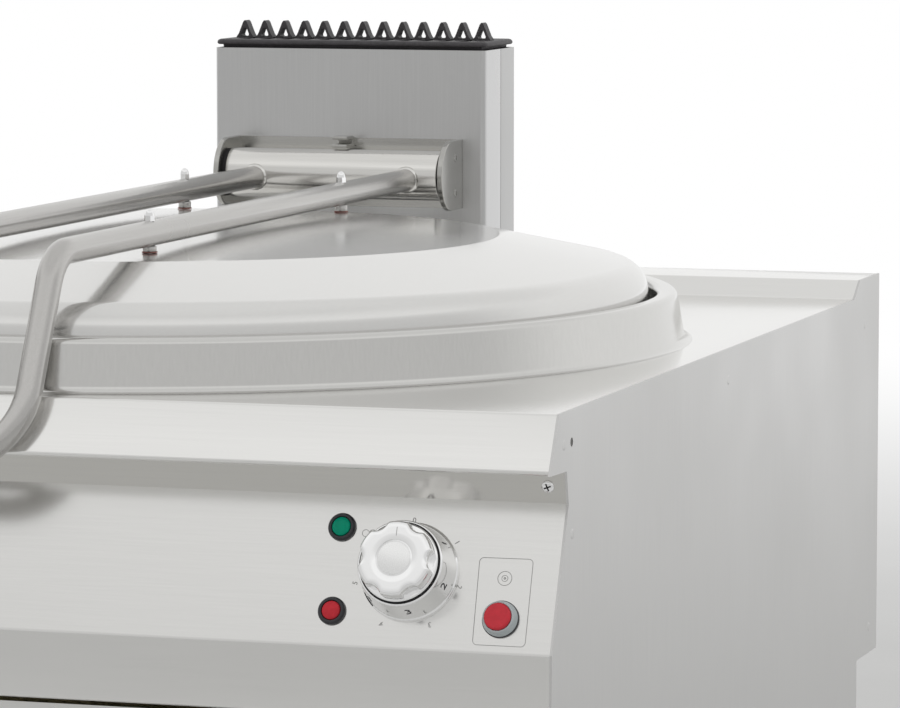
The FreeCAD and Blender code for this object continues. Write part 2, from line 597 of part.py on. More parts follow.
def pad_body(name, role, points, length, midplane=False):
    body = doc.addObject("PartDesign::Body", name)
    sketch = outline(body, name + "_outline", role, points)
    pad = body.newObject("PartDesign::Pad", name + "_pad")
    pad.Profile = sketch
    pad.Midplane = midplane
    bind(pad, "Length", length)
    return body


def lathe_body(name, points):
    """A body turned about its own Z axis from an outline in X and Z."""
    body = doc.addObject("PartDesign::Body", name)
    sketch = outline(body, name + "_outline", "XZ_Plane", points)
    turned = body.newObject("PartDesign::Revolution", name + "_turned")
    turned.Profile = sketch
    turned.ReferenceAxis = (sketch, ["V_Axis"])
    turned.Angle = 360
    return body


# Paths for bent tubes

def bent_path(points, radii):
    """Straight runs joined by tangent arcs, one radius for each inner point."""
    edges = []
    start = points[0]
    for index, radius in enumerate(radii, start=1):
        corner = points[index]
        back = (points[index - 1] - corner).normalize()
        ahead = (points[index + 1] - corner).normalize()
        half = back.getAngle(ahead) / 2
        trim = radius / math.tan(half)
        first = corner + back * trim
        last = corner + ahead * trim
        middle_way = (back + ahead).normalize()
        middle = corner + middle_way * (radius / math.sin(half) - radius)
        edges.append(Part.LineSegment(start, first).toShape())
        edges.append(Part.Arc(first, middle, last).toShape())
        start = last
    edges.append(Part.LineSegment(start, points[-1]).toShape())
    return Part.Wire(edges)


def sweep(path, radius):
    """A round solid along a path."""
    start = path.Edges[0].valueAt(path.Edges[0].FirstParameter)
    ahead = path.Edges[0].tangentAt(path.Edges[0].FirstParameter)
    ring = Part.Wire([Part.makeCircle(radius, start, ahead)])
    return path.makePipeShell([ring], True, False)


def bent_tube(points, radii, radius, wall):
    path = bent_path(points, radii)
    return sweep(path, radius).cut(sweep(path, radius - wall))


def coil(radius, wire, turns, length, start):
    """A coil spring with its axis along Z."""
    helix = Part.makeHelix(length / turns, length, radius)
    helix.translate(start)
    ring = Part.Wire([Part.makeCircle(wire, start + Vector(radius, 0, 0), Vector(0, 1, 0))])
    return Part.Wire(helix.Edges).makePipeShell([ring], True, True)


# Cabinet

def make_worktop():
    fold = pad_body("worktop_fold", "YZ_Plane", [
        ("-strip_top_reach", "-strip_top_drop"),
        ("-nose_reach", "-nose_drop"),
        ("-nose_top_reach", "0"),
        ("ledge_start", "0"),
        ("ledge_front", "ledge_rise"),
        ("ledge_back", "ledge_rise"),
        ("ledge_back", "-ledge_apron"),
        ("ledge_back - worktop_sheet", "-ledge_apron"),
        ("ledge_back - worktop_sheet", "ledge_rise - worktop_sheet"),
        ("ledge_front + worktop_sheet / 3", "ledge_rise - worktop_sheet"),
        ("ledge_start + worktop_sheet / 3", "-worktop_sheet"),
        ("worktop_sheet * 0.7 - nose_top_reach", "-worktop_sheet"),
        ("worktop_sheet * 1.6 - nose_reach", "worktop_sheet - nose_drop"),
        ("-strip_top_reach", "worktop_sheet - strip_top_drop"),
    ], "2 * inner_half_width", midplane=True)
    hole = rod("worktop_hole", "collar_inner_radius + collar_sheet + collar_seat_gap",
               "2 * worktop_sheet", ("0", "0", "-1.5 * worktop_sheet"))
    flue_hole = box("worktop_flue_hole",
                    ("-flue_half_width - flue_gap", "flue_front - flue_gap", "-ledge_apron"),
                    ("2 * (flue_half_width + flue_gap)", "flue_back - flue_front + 2 * flue_gap",
                     "ledge_apron + 2 * ledge_rise"))
    seat("worktop", cut("worktop_cut", fold, [hole, flue_hole]))


def make_side_panels():
    for side, left in (("left", "-module_width / 2"), ("right", "inner_half_width")):
        panel = pad_body("side_%s_sheet" % side, "YZ_Plane", [
            ("-strip_top_reach", "-strip_top_drop"),
            ("-nose_reach", "-nose_drop"),
            ("-nose_top_reach", "0"),
            ("ledge_start", "0"),
            ("ledge_front", "ledge_rise"),
            ("ledge_back", "ledge_rise"),
            ("ledge_back", "-rear_step_drop"),
            ("rear_wall_reach", "-rear_step_drop"),
            ("rear_wall_reach", "-body_drop"),
            ("-skirt_reach", "-body_drop"),
            ("-skirt_reach", "-skirt_drop"),
            ("-crease_reach", "-crease_drop"),
            ("-strip_bottom_reach", "-strip_bottom_drop"),
        ], "panel_sheet")
        bind(panel, ".Placement.Base.x", left)
        hole = rod("side_%s_hole" % side, "joining_hole_radius", "2 * panel_sheet",
                   ("%s - panel_sheet / 2" % left, "-joining_hole_reach", "-joining_hole_drop"), "x")
        seat("side_panel_" + side, cut("side_%s_cut" % side, panel, [hole]))


def make_front_strip():
    strip = pad_body("strip_sheet", "YZ_Plane", [
        ("-strip_top_reach", "worktop_sheet - strip_top_drop"),
        ("-strip_top_reach", "-strip_top_drop"),
        ("-strip_bottom_reach", "-strip_bottom_drop"),
        ("panel_sheet - strip_bottom_reach", "-strip_bottom_drop"),
        ("panel_sheet - strip_top_reach", "-strip_top_drop"),
        ("panel_sheet - strip_top_reach", "worktop_sheet - strip_top_drop"),
    ], "2 * inner_half_width", midplane=True)
    holes = []
    for side, across in (("left", "-strip_screw_spread"), ("right", "strip_screw_spread")):
        hole = rod("strip_hole_" + side, "screw_radius", "screw_length", ("0", "0", "0"))
        turn(hole, "90 deg + strip_slope")
        move(hole, strip_screw_place(across, "screw_length / 2"))
        holes.append(hole)
    seat("front_strip", cut("strip_cut", strip, holes))


def strip_screw_place(across, inward):
    """Place on the strip's face at a screw, moved inward along the strip's normal."""
    return (across,
            "strip_screw_drop * tan(strip_slope) - strip_top_reach + %s * cos(strip_slope)" % inward,
            "%s * sin(strip_slope) - strip_top_drop - strip_screw_drop" % inward)


def panel_hole(name, radius, across, down):
    """A cutter through the sloping panel, square to it."""
    hole = rod(name, radius, "20 * panel_sheet", ("0", "0", "0"))
    turn(hole, "90 deg - panel_slope")
    back = "10 * panel_sheet"
    move(hole, (across,
                "%s * cos(panel_slope) - strip_bottom_reach - %s * sin(panel_slope)" % (back, down),
                "-strip_bottom_drop - %s * cos(panel_slope) - %s * sin(panel_slope)" % (down, back)))
    return hole


def make_control_panel():
    panel = pad_body("control_sheet", "YZ_Plane", [
        ("-strip_bottom_reach", "-strip_bottom_drop"),
        ("-crease_reach", "-crease_drop"),
        ("-skirt_reach", "-skirt_drop"),
        ("skirt_return - skirt_reach", "-skirt_drop"),
        ("skirt_return - skirt_reach", "panel_sheet - skirt_drop"),
        ("panel_sheet - skirt_reach", "panel_sheet - skirt_drop"),
        ("panel_sheet - crease_reach", "-crease_drop"),
        ("panel_sheet - strip_bottom_reach", "-strip_bottom_drop"),
    ], "2 * inner_half_width", midplane=True)
    seat("control_panel", cut("control_cut", panel, [
        panel_hole("knob_hole", "regulator_neck_radius", "knob_across", "knob_down"),
        panel_hole("upper_lamp_hole", "lamp_body_radius", "lamp_across", "upper_lamp_down"),
        panel_hole("lower_lamp_hole", "lamp_body_radius", "lamp_across", "lower_lamp_down"),
        panel_hole("button_hole", "button_radius + button_gap", "button_across", "button_down"),
    ]))


def make_front_panel():
    tray = pad_body("front_tray", "XY_Plane", [
        ("-inner_half_width", "-front_panel_reach"),
        ("inner_half_width", "-front_panel_reach"),
        ("inner_half_width", "-front_post_reach"),
        ("inner_half_width - panel_sheet", "-front_post_reach"),
        ("inner_half_width - panel_sheet", "panel_sheet - front_panel_reach"),
        ("panel_sheet - inner_half_width", "panel_sheet - front_panel_reach"),
        ("panel_sheet - inner_half_width", "-front_post_reach"),
        ("-inner_half_width", "-front_post_reach"),
    ], "body_drop - skirt_drop - 2 * front_panel_gap")
    bind(tray, ".Placement.Base.z", "front_panel_gap - body_drop")
    hole = rod("front_panel_hole", "drain_pipe_radius", "4 * panel_sheet",
               ("0", "-front_panel_reach - panel_sheet", "-drain_drop"), "y")
    seat("front_panel", cut("front_panel_cut", tray, [hole]))


def make_back_panel():
    wall = pad_body("back_fold", "YZ_Plane", [
        ("ledge_back - worktop_sheet", "-worktop_sheet"),
        ("ledge_back - worktop_sheet", "-rear_step_drop"),
        ("rear_wall_reach", "-rear_step_drop"),
        ("rear_wall_reach", "floor_top"),
        ("rear_wall_reach - panel_sheet", "floor_top"),
        ("rear_wall_reach - panel_sheet", "panel_sheet - rear_step_drop"),
        ("ledge_back - worktop_sheet - panel_sheet", "panel_sheet - rear_step_drop"),
        ("ledge_back - worktop_sheet - panel_sheet", "-worktop_sheet"),
    ], "2 * inner_half_width", midplane=True)
    behind = "rear_wall_reach - 2 * panel_sheet"
    inlet = rod("inlet_hole", "inlet_neck_radius", "4 * panel_sheet",
                ("-service_spread", behind, "-service_drop"), "y")
    cable = rod("cable_hole", "gland_thread_radius", "4 * panel_sheet",
                ("service_spread", behind, "-service_drop"), "y")
    seat("back_panel", cut("back_panel_cut", wall, [inlet, cable]))


def make_base_panel():
    low = ("-inner_half_width", "panel_sheet - front_panel_reach", "-body_drop")
    lengths = ("2 * inner_half_width", "rear_wall_reach + front_panel_reach - panel_sheet", "panel_sheet")
    seat("base_panel", box("base_sheet", low, lengths))


def make_frame():
    right = "inner_half_width - rail_side"
    left = "-inner_half_width"
    front = "-front_post_reach"
    rear = "rear_post_reach - rail_side"
    top = "-worktop_sheet - rail_side"
    across = "2 * (inner_half_width - rail_side)"
    along = "rear_post_reach + front_post_reach - 2 * rail_side"
    tubes = []
    for name_x, x in (("left", left), ("right", right)):
        for name_y, y in (("front", front), ("rear", rear)):
            name = "post_%s_%s" % (name_y, name_x)
            tubes.append(rail(name, [x, y, "floor_top"], "z", "-worktop_sheet - floor_top"))
        for name_z, z in (("top", top), ("base", "floor_top")):
            name = "%s_rail_%s" % (name_z, name_x)
            tubes.append(rail(name, [x, "rail_side - front_post_reach", z], "y", along))
    inner = "rail_side - inner_half_width"
    for name_y, y in (("front", front), ("rear", rear)):
        for name_z, z in (("top", top), ("base", "floor_top")):
            tubes.append(rail("%s_rail_%s" % (name_z, name_y), [inner, y, z], "x", across))
    for name_y, y in (("front", "-cross_rail_reach"), ("rear", "cross_rail_reach")):
        name = "cross_rail_" + name_y
        tubes.append(rail(name, [inner, "%s - rail_side / 2" % y, "floor_top"], "x", across))
    seat("frame", group("frame_tubes", tubes))


def leg_places():
    for name_y, y in (("front", "-front_leg_reach"), ("rear", "rear_leg_reach")):
        for name_x, x in (("left", "-leg_spread"), ("right", "leg_spread")):
            yield name_y + "_" + name_x, x, y


def make_legs():
    sleeves = []
    for name, x, y in leg_places():
        low = ("%s - leg_plate_side / 2" % x, "%s - leg_plate_side / 2" % y,
               "base_clearance - leg_plate_thickness")
        plate = box(name + "_plate", low, ("leg_plate_side", "leg_plate_side", "leg_plate_thickness"))
        sleeve = tube(name + "_sleeve", "leg_radius", "leg_wall",
                      "base_clearance - leg_plate_thickness - sleeve_bottom", (x, y, "sleeve_bottom"))
        sleeves.append(fuse(name + "_leg", [plate, sleeve]))
    seat("leg_sleeves", group("legs", sleeves), at=("0", "kettle_y", "0"))
    for name, x, y in leg_places():
        disc = rod(name + "_disc", "foot_radius", "foot_thickness", (x, y, "0"))
        stem = rod(name + "_stem", "leg_radius - leg_wall - running_gap",
                   "sleeve_bottom + foot_overlap - foot_thickness", (x, y, "foot_thickness"))
        seat("foot_" + name, fuse(name + "_foot", [disc, stem]), at=("0", "kettle_y", "0"))


# Pot, collar, jacket

def make_collar():
    collar = lathe_body("collar_ring", [
        ("collar_base_radius", "0"),
        ("collar_base_radius - collar_fillet * 0.7", "collar_fillet * 0.3"),
        ("collar_base_radius - collar_fillet", "collar_fillet"),
        ("collar_shoulder_radius", "collar_shoulder_height"),
        ("collar_shoulder_radius - collar_round", "collar_height"),
        ("collar_inner_radius + collar_round * 0.8", "collar_height"),
        ("collar_inner_radius", "collar_height - collar_round * 0.8"),
        ("collar_inner_radius", "rim_height"),
        ("collar_inner_radius + collar_sheet", "rim_height"),
        ("collar_inner_radius + collar_sheet", "collar_height - collar_round * 0.8 - collar_sheet / 2"),
        ("collar_inner_radius + collar_round * 0.8 + collar_sheet / 2", "collar_height - collar_sheet"),
        ("collar_shoulder_radius - collar_round - collar_sheet / 2", "collar_height - collar_sheet"),
        ("collar_shoulder_radius - collar_sheet", "collar_shoulder_height - collar_sheet / 2"),
        ("collar_base_radius - collar_fillet - collar_sheet", "0"),
    ])
    seat("collar", collar)


def make_pot():
    shell = lathe_body("pot_shell", [
        ("collar_inner_radius + collar_sheet", "rim_height"),
        ("pot_radius", "rim_height"),
        ("pot_radius", "-pot_depth"),
        ("pot_bottom_radius", "-pot_bottom_drop"),
        ("0", "-pot_centre_drop"),
        ("0", "-pot_centre_drop - pot_sheet"),
        ("pot_bottom_radius + pot_sheet / 2", "-pot_bottom_drop - pot_sheet"),
        ("pot_outer_radius", "-pot_depth - pot_sheet / 2"),
        ("pot_outer_radius", "rim_height - pot_sheet"),
        ("collar_inner_radius + collar_sheet", "rim_height - pot_sheet"),
    ])
    drain = rod("pot_drain_hole", "drain_bore_radius", "pot_radius / 2",
                ("0", "-1.1 * pot_radius", "-drain_drop"), "y")
    fill = plain_shape("pot_fill_hole", sweep(Part.Wire([fill_run()]), size("fill_hole_radius")))
    seat("pot", cut("pot_cut", shell, [drain, fill]))


def fill_run():
    """The short radial line on which the fill pipe enters the pot."""
    riser = Vector(-size("service_spread"), size("fill_riser_reach"), -size("fill_drop"))
    ahead = Vector(-riser.x, -riser.y, 0).normalize()
    inside = Vector(0, 0, riser.z) - ahead * (size("pot_radius") - 5 * size("pot_sheet"))
    return Part.LineSegment(riser, inside).toShape()


def make_strainer():
    cup = rod("strainer_cup", "strainer_radius", "pot_radius - strainer_reach + pot_sheet",
              ("0", "-pot_radius - pot_sheet", "-drain_drop"), "y")
    hollow = rod("strainer_hollow", "strainer_radius - strainer_sheet",
                 "pot_radius - strainer_reach + pot_sheet - strainer_sheet",
                 ("0", "-pot_radius - pot_sheet", "-drain_drop"), "y")
    inside_pot = rod("strainer_limit", "pot_radius", "pot_depth", ("0", "0", "-pot_depth - strainer_radius"))
    holes = [hollow]
    for ring, count in ((0, 1), (1, 6), (2, 12)):
        for index in range(count):
            angle = 360.0 / count * index
            reach = "strainer_hole_radius * %s" % (3.4 * ring)
            holes.append(rod("strainer_hole_%d_%d" % (ring, index), "strainer_hole_radius", "pot_radius / 3",
                             ("%s * cos(%s deg)" % (reach, angle), "-pot_radius",
                              "%s * sin(%s deg) - drain_drop" % (reach, angle)), "y"))
    whole = common("strainer_cup_in_pot", cup, inside_pot)
    seat("drain_strainer", cut("strainer_cut", whole, holes))


def jacket_leg_places():
    for name_y, y in (("front", "-cross_rail_reach"), ("rear", "cross_rail_reach")):
        for name_x, x in (("left", "-jacket_leg_spread"), ("right", "jacket_leg_spread")):
            yield name_y + "_" + name_x, x, y


def drain_cutter(name):
    """Room for the drain pipe in what it passes through."""
    return rod(name, "drain_pipe_radius", "insulation_radius - pot_radius + insulation_thickness",
               ("0", "-insulation_radius - insulation_thickness", "-drain_drop"), "y")


def stub_cutter(name):
    return rod(name, "element_stub_radius", "jacket_radius / 2",
               ("0.8 * jacket_radius", "0", "-element_drop"), "x")


def vent_cutter(name):
    return rod(name, "pipe_radius", "jacket_top_drop",
               ("-vent_offset", "vent_jacket_reach", "-1.2 * jacket_top_drop"))


def make_jacket():
    shell = lathe_body("jacket_shell", [
        ("pot_outer_radius", "-jacket_top_drop"),
        ("jacket_outer_radius", "-jacket_top_drop"),
        ("jacket_outer_radius", "jacket_underside"),
        ("0", "jacket_underside"),
        ("0", "-jacket_bottom_drop"),
        ("jacket_radius", "-jacket_bottom_drop"),
        ("jacket_radius", "-jacket_top_drop - jacket_sheet"),
        ("pot_outer_radius", "-jacket_top_drop - jacket_sheet"),
    ])
    can = cut("jacket_cut", shell, [
        drain_cutter("jacket_drain_hole"),
        stub_cutter("jacket_stub_hole"),
        vent_cutter("jacket_vent_hole"),
    ])
    blanket = lathe_body("insulation_blanket", [
        ("jacket_outer_radius", "-jacket_top_drop"),
        ("insulation_radius", "-jacket_top_drop"),
        ("insulation_radius", "jacket_underside - insulation_thickness"),
        ("0", "jacket_underside - insulation_thickness"),
        ("0", "jacket_underside"),
        ("jacket_outer_radius", "jacket_underside"),
    ])
    openings = [drain_cutter("insulation_drain_hole"), stub_cutter("insulation_stub_hole")]
    legs = []
    height = "jacket_underside - floor_top - rail_side"
    for name, x, y in jacket_leg_places():
        start = (x, y, "floor_top + rail_side")
        openings.append(rod(name + "_leg_hole", "jacket_leg_radius", height, start))
        legs.append(tube(name + "_jacket_leg", "jacket_leg_radius", "jacket_leg_wall", height, start))
    seat("insulation", cut("insulation_cut", blanket, openings))
    seat("jacket", fuse("jacket_and_legs", [can] + legs))


def make_heating():
    stub_start = "jacket_radius * 0.97"
    stub = tube("element_stub", "element_stub_radius", "element_stub_wall",
                "element_flange_face - %s" % stub_start, (stub_start, "0", "-element_drop"), "x")
    flange = rod("element_flange", "element_flange_radius", "element_flange_thickness",
                 ("element_flange_face", "0", "-element_drop"), "x")
    base = fuse("element_base", [stub, flange])
    hairpins = []
    bend = size("element_bend_radius")
    right = size("element_flange_face") + size("element_flange_gap")
    left = -size("element_reach")
    for index in (-1, 0, 1):
        y = index * size("element_pitch")
        z = -size("element_drop")
        corners = [Vector(right, y, z + bend), Vector(left - bend, y, z + bend),
                   Vector(left - bend, y, z - bend), Vector(right, y, z - bend)]
        path = bent_path(corners, [bend - 0.01, bend - 0.01])
        hairpins.append(plain_shape("hairpin_%d" % (index + 2), sweep(path, size("element_radius"))))
    seat("heating_elements", fuse("heating_unit", [base] + hairpins))
    cup_start = ("element_flange_face + element_flange_thickness", "0", "-element_drop")
    cup = rod("cover_outside", "element_cover_radius", "element_cover_depth", cup_start, "x")
    hollow = rod("cover_inside", "element_cover_radius - panel_sheet",
                 "element_cover_depth - panel_sheet", cup_start, "x")
    seat("element_cover", cut("cover_cut", cup, [hollow]))


# Drain tap

def make_drain():
    start = "-front_panel_reach"
    outer = rod("drain_outside", "drain_pipe_radius", "front_panel_reach - 0.9 * pot_radius",
                ("0", start, "-drain_drop"), "y")
    inner = rod("drain_inside", "drain_bore_radius", "front_panel_reach - 0.9 * pot_radius",
                ("0", start, "-drain_drop"), "y")
    pot_room = rod("drain_pot_room", "pot_outer_radius", "pot_depth", ("0", "0", "-1.2 * pot_depth"))
    seat("drain_pipe", cut("drain_pipe_cut", outer, [inner, pot_room]))

    axis = ("0", "-tap_reach")
    flange = rod("tap_flange", "tap_flange_radius", "tap_flange_thickness",
                 ("0", "-front_panel_reach - tap_flange_thickness", "-drain_drop"), "y")
    neck = rod("tap_neck", "tap_radius", "tap_ahead", ("0", "-tap_reach", "-drain_drop"), "y")
    barrel = rod("tap_barrel", "tap_radius", "tap_bottom_drop - tap_top_drop", axis + ("-tap_bottom_drop",))
    spout = rod("tap_spout", "spout_radius", "spout_length", axis + ("-spout_drop",))
    body = fuse("tap_solid", [flange, neck, barrel, spout])
    plug_room = rod("tap_plug_bore", "plug_radius + running_gap", "plug_bottom_drop - tap_top_drop",
                    axis + ("-plug_bottom_drop",))
    spout_bore = rod("tap_spout_bore", "spout_bore_radius", "spout_length + plug_floor + tap_play",
                     axis + ("-spout_drop",))
    inlet_bore = rod("tap_inlet_bore", "spout_bore_radius", "tap_reach",
                     ("0", "-tap_reach", "-drain_drop"), "y")
    seat("drain_valve_body", cut("tap_cut", body, [plug_room, spout_bore, inlet_bore]))

    plug = rod("plug_solid", "plug_radius", "plug_bottom_drop - plug_top_drop - seat_gap",
               axis + ("seat_gap - plug_bottom_drop",))
    stem = rod("plug_stem", "tap_stem_radius", "plug_top_drop - lever_drop + lever_hub_height / 2",
               axis + ("-plug_top_drop",))
    down = rod("plug_down_port", "plug_port_radius", "plug_bottom_drop - drain_drop",
               axis + ("-plug_bottom_drop",))
    side = rod("plug_side_port", "plug_port_radius", "2 * plug_radius",
               ("-2 * plug_radius", "-tap_reach", "-drain_drop"), "x")
    seat("drain_plug", cut("plug_cut", fuse("plug_and_stem", [plug, stem]), [down, side]))

    nut_bottom = axis + ("tap_play - plug_top_drop",)
    nut = rod("tap_nut_solid", "plug_radius + tap_nut_skirt",
              "tap_nut_thickness + tap_nut_depth - tap_play", nut_bottom)
    thread = rod("tap_nut_thread", "tap_radius", "tap_nut_thickness", axis + ("-tap_top_drop",))
    inside = rod("tap_nut_inside", "plug_radius", "tap_nut_depth - tap_play", nut_bottom)
    bore = rod("tap_nut_bore", "tap_stem_radius + running_gap", "tap_nut_depth + 2 * tap_nut_thickness",
               axis + ("-plug_top_drop",))
    closing = common("tap_nut_in_bore", nut, fuse("tap_nut_room", [thread, inside]))
    seat("drain_valve_nut", cut("tap_nut_cut", closing, [bore]))

    hub = rod("lever_hub", "lever_hub_radius", "lever_hub_height", axis + ("-lever_drop",))
    arm_low = ("0", "-tap_reach - lever_width / 2", "lever_hub_height / 2 - lever_thickness / 2 - lever_drop")
    arm_lengths = ("lever_length", "lever_width", "lever_thickness")
    arm = box("lever_arm", arm_low, arm_lengths)
    socket = rod("lever_socket", "tap_stem_radius", "lever_hub_height / 2", axis + ("-lever_drop",))
    seat("drain_lever", cut("lever_cut", fuse("lever_solid", [hub, arm]), [socket]))
    grip = rod("grip_solid", "grip_radius", "grip_length",
               ("lever_length - grip_overlap", "-tap_reach", "lever_hub_height / 2 - lever_drop"), "x")
    pocket = box("grip_pocket", arm_low, arm_lengths)
    seat("drain_grip", cut("grip_cut", grip, [pocket]))


# Water, steam and cable entries

def make_services():
    jacket_underside = -size("jacket_top_drop") - size("jacket_sheet")
    vent = bent_tube([
        Vector(-size("vent_offset"), size("vent_jacket_reach"), jacket_underside),
        Vector(-size("vent_offset"), size("vent_jacket_reach"), -size("vent_drop")),
        Vector(-size("vent_offset"), size("flue_middle"), -size("vent_drop")),
        Vector(-size("vent_offset"), size("flue_middle"), size("vent_rise")),
    ], [size("pipe_bend_radius")] * 2, size("pipe_radius"), size("pipe_wall"))
    seat("vent_pipe", plain_shape("vent_tube", vent))
    valve = lathe_body("safety_valve_solid", [
        ("0", "0"),
        ("safety_valve_radius", "0"),
        ("safety_valve_radius", "safety_valve_height / 3"),
        ("safety_valve_radius * 0.7", "safety_valve_height / 2.5"),
        ("safety_valve_radius * 0.7", "safety_valve_height * 0.9"),
        ("safety_valve_radius * 0.4", "safety_valve_height"),
        ("0", "safety_valve_height"),
    ])
    seat("safety_valve", valve, at=("-vent_offset", "kettle_y + flue_middle", "worktop_height + vent_rise"))

    valve_front = size("rear_wall_reach") - size("inlet_inside") - size("valve_length")
    fill_end = fill_run().valueAt(fill_run().Length - 4 * size("pot_sheet"))
    pipe = bent_tube([
        Vector(-size("service_spread"), valve_front, -size("service_drop")),
        Vector(-size("service_spread"), size("fill_riser_reach"), -size("service_drop")),
        Vector(-size("service_spread"), size("fill_riser_reach"), -size("fill_drop")),
        fill_end,
    ], [size("pipe_bend_radius")] * 2, size("pipe_radius"), size("pipe_wall"))
    pot_floor = Vector(0, 0, -size("pot_depth"))
    pot_room = Part.makeCylinder(size("pot_outer_radius"), size("pot_depth"), pot_floor)
    seat("fill_pipe", plain_shape("fill_tube", pipe.cut(pot_room)))
    half = "valve_side / 2"
    valve_back = "rear_wall_reach - inlet_inside"
    body = box("valve_block", ("-service_spread - %s" % half, "%s - valve_length" % valve_back,
                               "-service_drop - %s" % half),
               ("valve_side", "valve_length", "valve_side"))
    coil_can = rod("valve_coil", "valve_side * 0.42", "valve_side",
                   ("-service_spread", "%s - valve_length / 2" % valve_back, "%s - service_drop" % half))
    nut = rod("valve_lock_nut", "1.5 * inlet_thread_radius", "inlet_nut_thickness",
              ("-service_spread", "rear_wall_reach - panel_sheet - inlet_nut_thickness",
               "-service_drop"), "y")
    neck = rod("valve_neck", "inlet_neck_radius", "inlet_inside + inlet_shoulder",
               ("-service_spread", valve_back, "-service_drop"), "y")
    shoulder = "rear_wall_reach + inlet_shoulder"
    relief = rod("valve_relief", "inlet_relief_radius", "inlet_relief_length + inlet_length",
                 ("-service_spread", shoulder, "-service_drop"), "y")
    thread = rod("valve_thread", "inlet_thread_radius", "inlet_length",
                 ("-service_spread", "%s + inlet_relief_length" % shoulder, "-service_drop"), "y")
    seat("water_valve", fuse("water_valve_solid", [body, coil_can, nut, neck, relief, thread]))

    outside = rod("gland_outside", "gland_radius", "gland_length",
                  ("service_spread", "rear_wall_reach", "-service_drop"), "y")
    inner_end = ("service_spread", "rear_wall_reach - gland_inside", "-service_drop")
    thread = rod("gland_thread", "gland_thread_radius", "gland_inside", inner_end, "y")
    nut = rod("gland_nut", "gland_radius", "gland_nut_thickness",
              ("service_spread", "rear_wall_reach - panel_sheet - gland_nut_thickness",
               "-service_drop"), "y")
    bore = rod("gland_bore", "gland_bore_radius", "gland_length + gland_inside", inner_end, "y")
    seat("cable_gland", cut("gland_cut", fuse("gland_solid", [outside, thread, nut]), [bore]))


# Flue column and grille

def make_flue():
    height = "flue_height + flue_depth"
    front = pad_body("flue_front_cover", "XY_Plane", [
        ("-flue_half_width", "flue_joint"),
        ("-flue_half_width", "flue_front + flue_corner"),
        ("flue_corner - flue_half_width", "flue_front"),
        ("flue_half_width - flue_corner", "flue_front"),
        ("flue_half_width", "flue_front + flue_corner"),
        ("flue_half_width", "flue_joint"),
        ("flue_half_width - panel_sheet", "flue_joint"),
        ("flue_half_width - panel_sheet", "flue_front + flue_corner + panel_sheet / 2"),
        ("flue_half_width - flue_corner - panel_sheet / 2", "flue_front + panel_sheet"),
        ("flue_corner + panel_sheet / 2 - flue_half_width", "flue_front + panel_sheet"),
        ("panel_sheet - flue_half_width", "flue_front + flue_corner + panel_sheet / 2"),
        ("panel_sheet - flue_half_width", "flue_joint"),
    ], height)
    seat("flue_front", front, at=("0", "kettle_y", "worktop_height - flue_depth"))
    back = pad_body("flue_back_channel", "XY_Plane", [
        ("-flue_half_width", "flue_joint"),
        ("-flue_half_width", "flue_back"),
        ("flue_half_width", "flue_back"),
        ("flue_half_width", "flue_joint"),
        ("flue_half_width - panel_sheet", "flue_joint"),
        ("flue_half_width - panel_sheet", "flue_back - panel_sheet"),
        ("panel_sheet - flue_half_width", "flue_back - panel_sheet"),
        ("panel_sheet - flue_half_width", "flue_joint"),
    ], height)
    seat("flue_back", back, at=("0", "kettle_y", "worktop_height - flue_depth"))


def make_grille():
    body = doc.addObject("PartDesign::Body", "grille_casting")
    plate = body.newObject("PartDesign::Pad", "grille_plate")
    corner = "grille_corner"
    half_depth = "(flue_back - flue_front) / 2"
    plate.Profile = outline(body, "grille_plate_outline", "XY_Plane", [
        ("%s - flue_half_width" % corner, "-" + half_depth),
        ("flue_half_width - " + corner, "-" + half_depth),
        ("flue_half_width", "%s - %s" % (corner, half_depth)),
        ("flue_half_width", "%s - %s" % (half_depth, corner)),
        ("flue_half_width - " + corner, half_depth),
        ("%s - flue_half_width" % corner, half_depth),
        ("-flue_half_width", "%s - %s" % (half_depth, corner)),
        ("-flue_half_width", "%s - %s" % (corner, half_depth)),
    ])
    bind(plate, "Length", "grille_thickness")
    first_tooth = "-(grille_count - 1) / 2 * grille_pitch"
    first_slot = "-(grille_count - 2) / 2 * grille_pitch"
    slot = body.newObject("PartDesign::Pocket", "grille_slot")
    slot.Profile = outline(body, "grille_slot_outline", "XY_Plane", [
        ("%s - slot_half_width" % first_slot, "-slot_length / 2"),
        ("%s + slot_half_width" % first_slot, "-slot_length / 2"),
        ("%s + slot_half_width" % first_slot, "slot_length / 2"),
        ("%s - slot_half_width" % first_slot, "slot_length / 2"),
    ])
    slot.Type = 1
    slot.Reversed = True
    slots = body.newObject("PartDesign::LinearPattern", "grille_slots")
    slots.Originals = [slot]
    slots.Direction = (slot.Profile[0], ["H_Axis"])
    bind(slots, "Length", "(grille_count - 2) * grille_pitch")
    bind(slots, "Occurrences", "grille_count - 1")
    body.Tip = slots
    tooth = body.newObject("PartDesign::Pad", "grille_tooth")
    tooth.Profile = tooth_sketch(body, first_tooth)
    tooth.Midplane = True
    bind(tooth, "Length", "tooth_depth")
    teeth = body.newObject("PartDesign::LinearPattern", "grille_teeth")
    teeth.Originals = [tooth]
    teeth.Direction = (tooth.Profile[0], ["H_Axis"])
    bind(teeth, "Length", "(grille_count - 1) * grille_pitch")
    bind(teeth, "Occurrences", "grille_count")
    body.Tip = teeth
    seat("flue_grille", body, at=("0", "kettle_y + flue_middle", "worktop_height + flue_height"))


